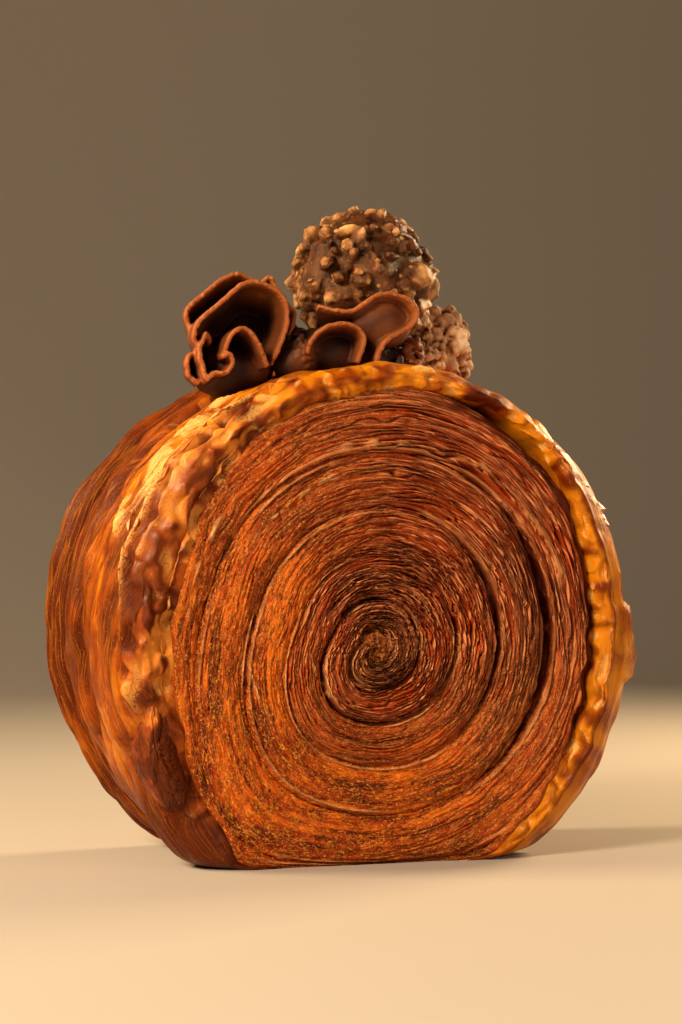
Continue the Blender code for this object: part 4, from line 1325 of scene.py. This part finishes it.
# Painted shade low between the nuts, and tops made lighter, partly painted light.
browning = plus(browned(place, 0.31, 330.0), times(high_up, 0.36))
coat = ramp(browning, (0.15, (0.018, 0.005, 0.0015)), (0.5, (0.15, 0.046, 0.013)), (0.9, (0.74, 0.38, 0.13)))
dry = use(crumb, Place=place, Size=700.0, Cover=0.56)
cover(shader, mix(dry["Spots"], coat, (0.66, 0.36, 0.12)), dry["Grain"], 0.25 * MM)
dress("nut_ball", "nut_chocolate", chocolate, ball_coat)

roasted, shader = new_material("roasted_nut", Roughness=0.42, Subsurface_Weight=0.15, Subsurface_Scale=0.001)
place = read_place(shader)
browning = browned(place, 0.5, 420.0)
toast = ramp(browning, (0.15, (0.16, 0.052, 0.013)), (0.5, (0.42, 0.16, 0.035)), (0.95, (0.85, 0.52, 0.22)))
cover(shader, toast, use(crumb, Place=place)["Grain"], 0.3 * MM)
dress("nut_ball", "nut_chocolate", roasted, nuts)

# %% [markdown]
# ## The crumbly lump
# Cream that has set and been broken looks like crumble: small lumps stuck together, with pits between them. It
# is made that way, from many small spheres that are melted together.

# %% Crumble
deselect()
LUMP_MIDDLE = np.array((18.5, 0, 99.5)) * MM
lump_parts = [heap("lump_heart", (20.4, 2, 100), (5.0, 5.8, 7.2), 1.2, 101)]
for centre, size, count, small, large in (
    ((20.4, 2, 100.3), (6.0, 6.9, 8.4), 330, 0.6, 1.5),
    ((14.2, -6.5, 97.5), (3.8, 2.8, 3.0), 100, 0.35, 0.8),
    ((14.0, -4.0, 103.5), (1.9, 1.9, 4.8), 80, 0.35, 0.8),
):
    lump_parts += crumbs(centre, size, count, small, large)
lump = melt("cream_lump", lump_parts, CREAM_VOXEL, 0)
points = read_vectors(lump)
pits = rough(*(points / MM / 0.8).T, seed=105) * 0.30 + rough(*(points / MM / 2.2).T, seed=106) * 0.35
away = (points - LUMP_MIDDLE) / np.linalg.norm(points - LUMP_MIDDLE, axis=1)[:, None]
write_points(lump, points + away * (pits * MM)[:, None])
# Painted shade in the pits.
store(lump, (smooth(0.15, -0.5, pits),))

# %% Crumbly cream
crumble, shader = new_material("cream_crumble", Roughness=0.75, Specular_IOR_Level=0.3)
place, _, pit_shade, _, _, _ = read_looks(shader)
# Painted shade darkens the pits.
browning = minus(browned(place, 0.55, 260.0), times(pit_shade, 0.8))
pink = ramp(browning, (0.0, (0.22, 0.06, 0.02)), (0.45, (0.86, 0.49, 0.25)), (0.9, (0.97, 0.76, 0.54)))
cover(shader, pink, use(crumb, Place=place)["Grain"], 0.3 * MM)
dress("cream_crumble", "chocolate_crumble", crumble, lump)

# %% [markdown]
# ## The floor
# A studio floor is a sheet of pale paper that curves up behind the object, so that there is no horizon line. It
# is a plane whose far edge is extruded upwards through a quarter circle.

# %% Floor
FLOOR_REACH, SWEEP_RADIUS, WALL_HEIGHT, SWEEP_STEPS = 0.9, 0.5, 1.4, 16
deselect()
bpy.ops.mesh.primitive_plane_add(size=2 * FLOOR_REACH, location=(0, -FLOOR_REACH / 3, 0))
floor = named("studio_floor")
bpy.ops.object.mode_set(mode="EDIT")
bpy.ops.mesh.select_all(action="DESELECT")
bpy.ops.object.mode_set(mode="OBJECT")
for edge in floor.data.edges:
    edge.select = all(floor.data.vertices[corner].co.y > 0 for corner in edge.vertices)
bpy.ops.object.mode_set(mode="EDIT")
length = 2 * SWEEP_RADIUS * math.sin(math.radians(45) / SWEEP_STEPS)
turns = [math.radians(90) * (step + 0.5) / SWEEP_STEPS for step in range(SWEEP_STEPS)]
shifts = [(0, length * math.cos(turn), length * math.sin(turn)) for turn in turns] + [(0, 0, WALL_HEIGHT)]
for shift in shifts:
    bpy.ops.mesh.extrude_region_move(TRANSFORM_OT_translate={"value": shift})
bpy.ops.mesh.select_all(action="SELECT")
bpy.ops.mesh.normals_make_consistent(inside=False)
bpy.ops.object.mode_set(mode="OBJECT")
bpy.ops.object.shade_smooth()
ground, _ = new_material("studio_paper", Base_Color=(0.50, 0.44, 0.38, 1), Roughness=0.7)
floor.data.materials.append(ground)
print("floor with", len(floor.data.polygons), "faces")
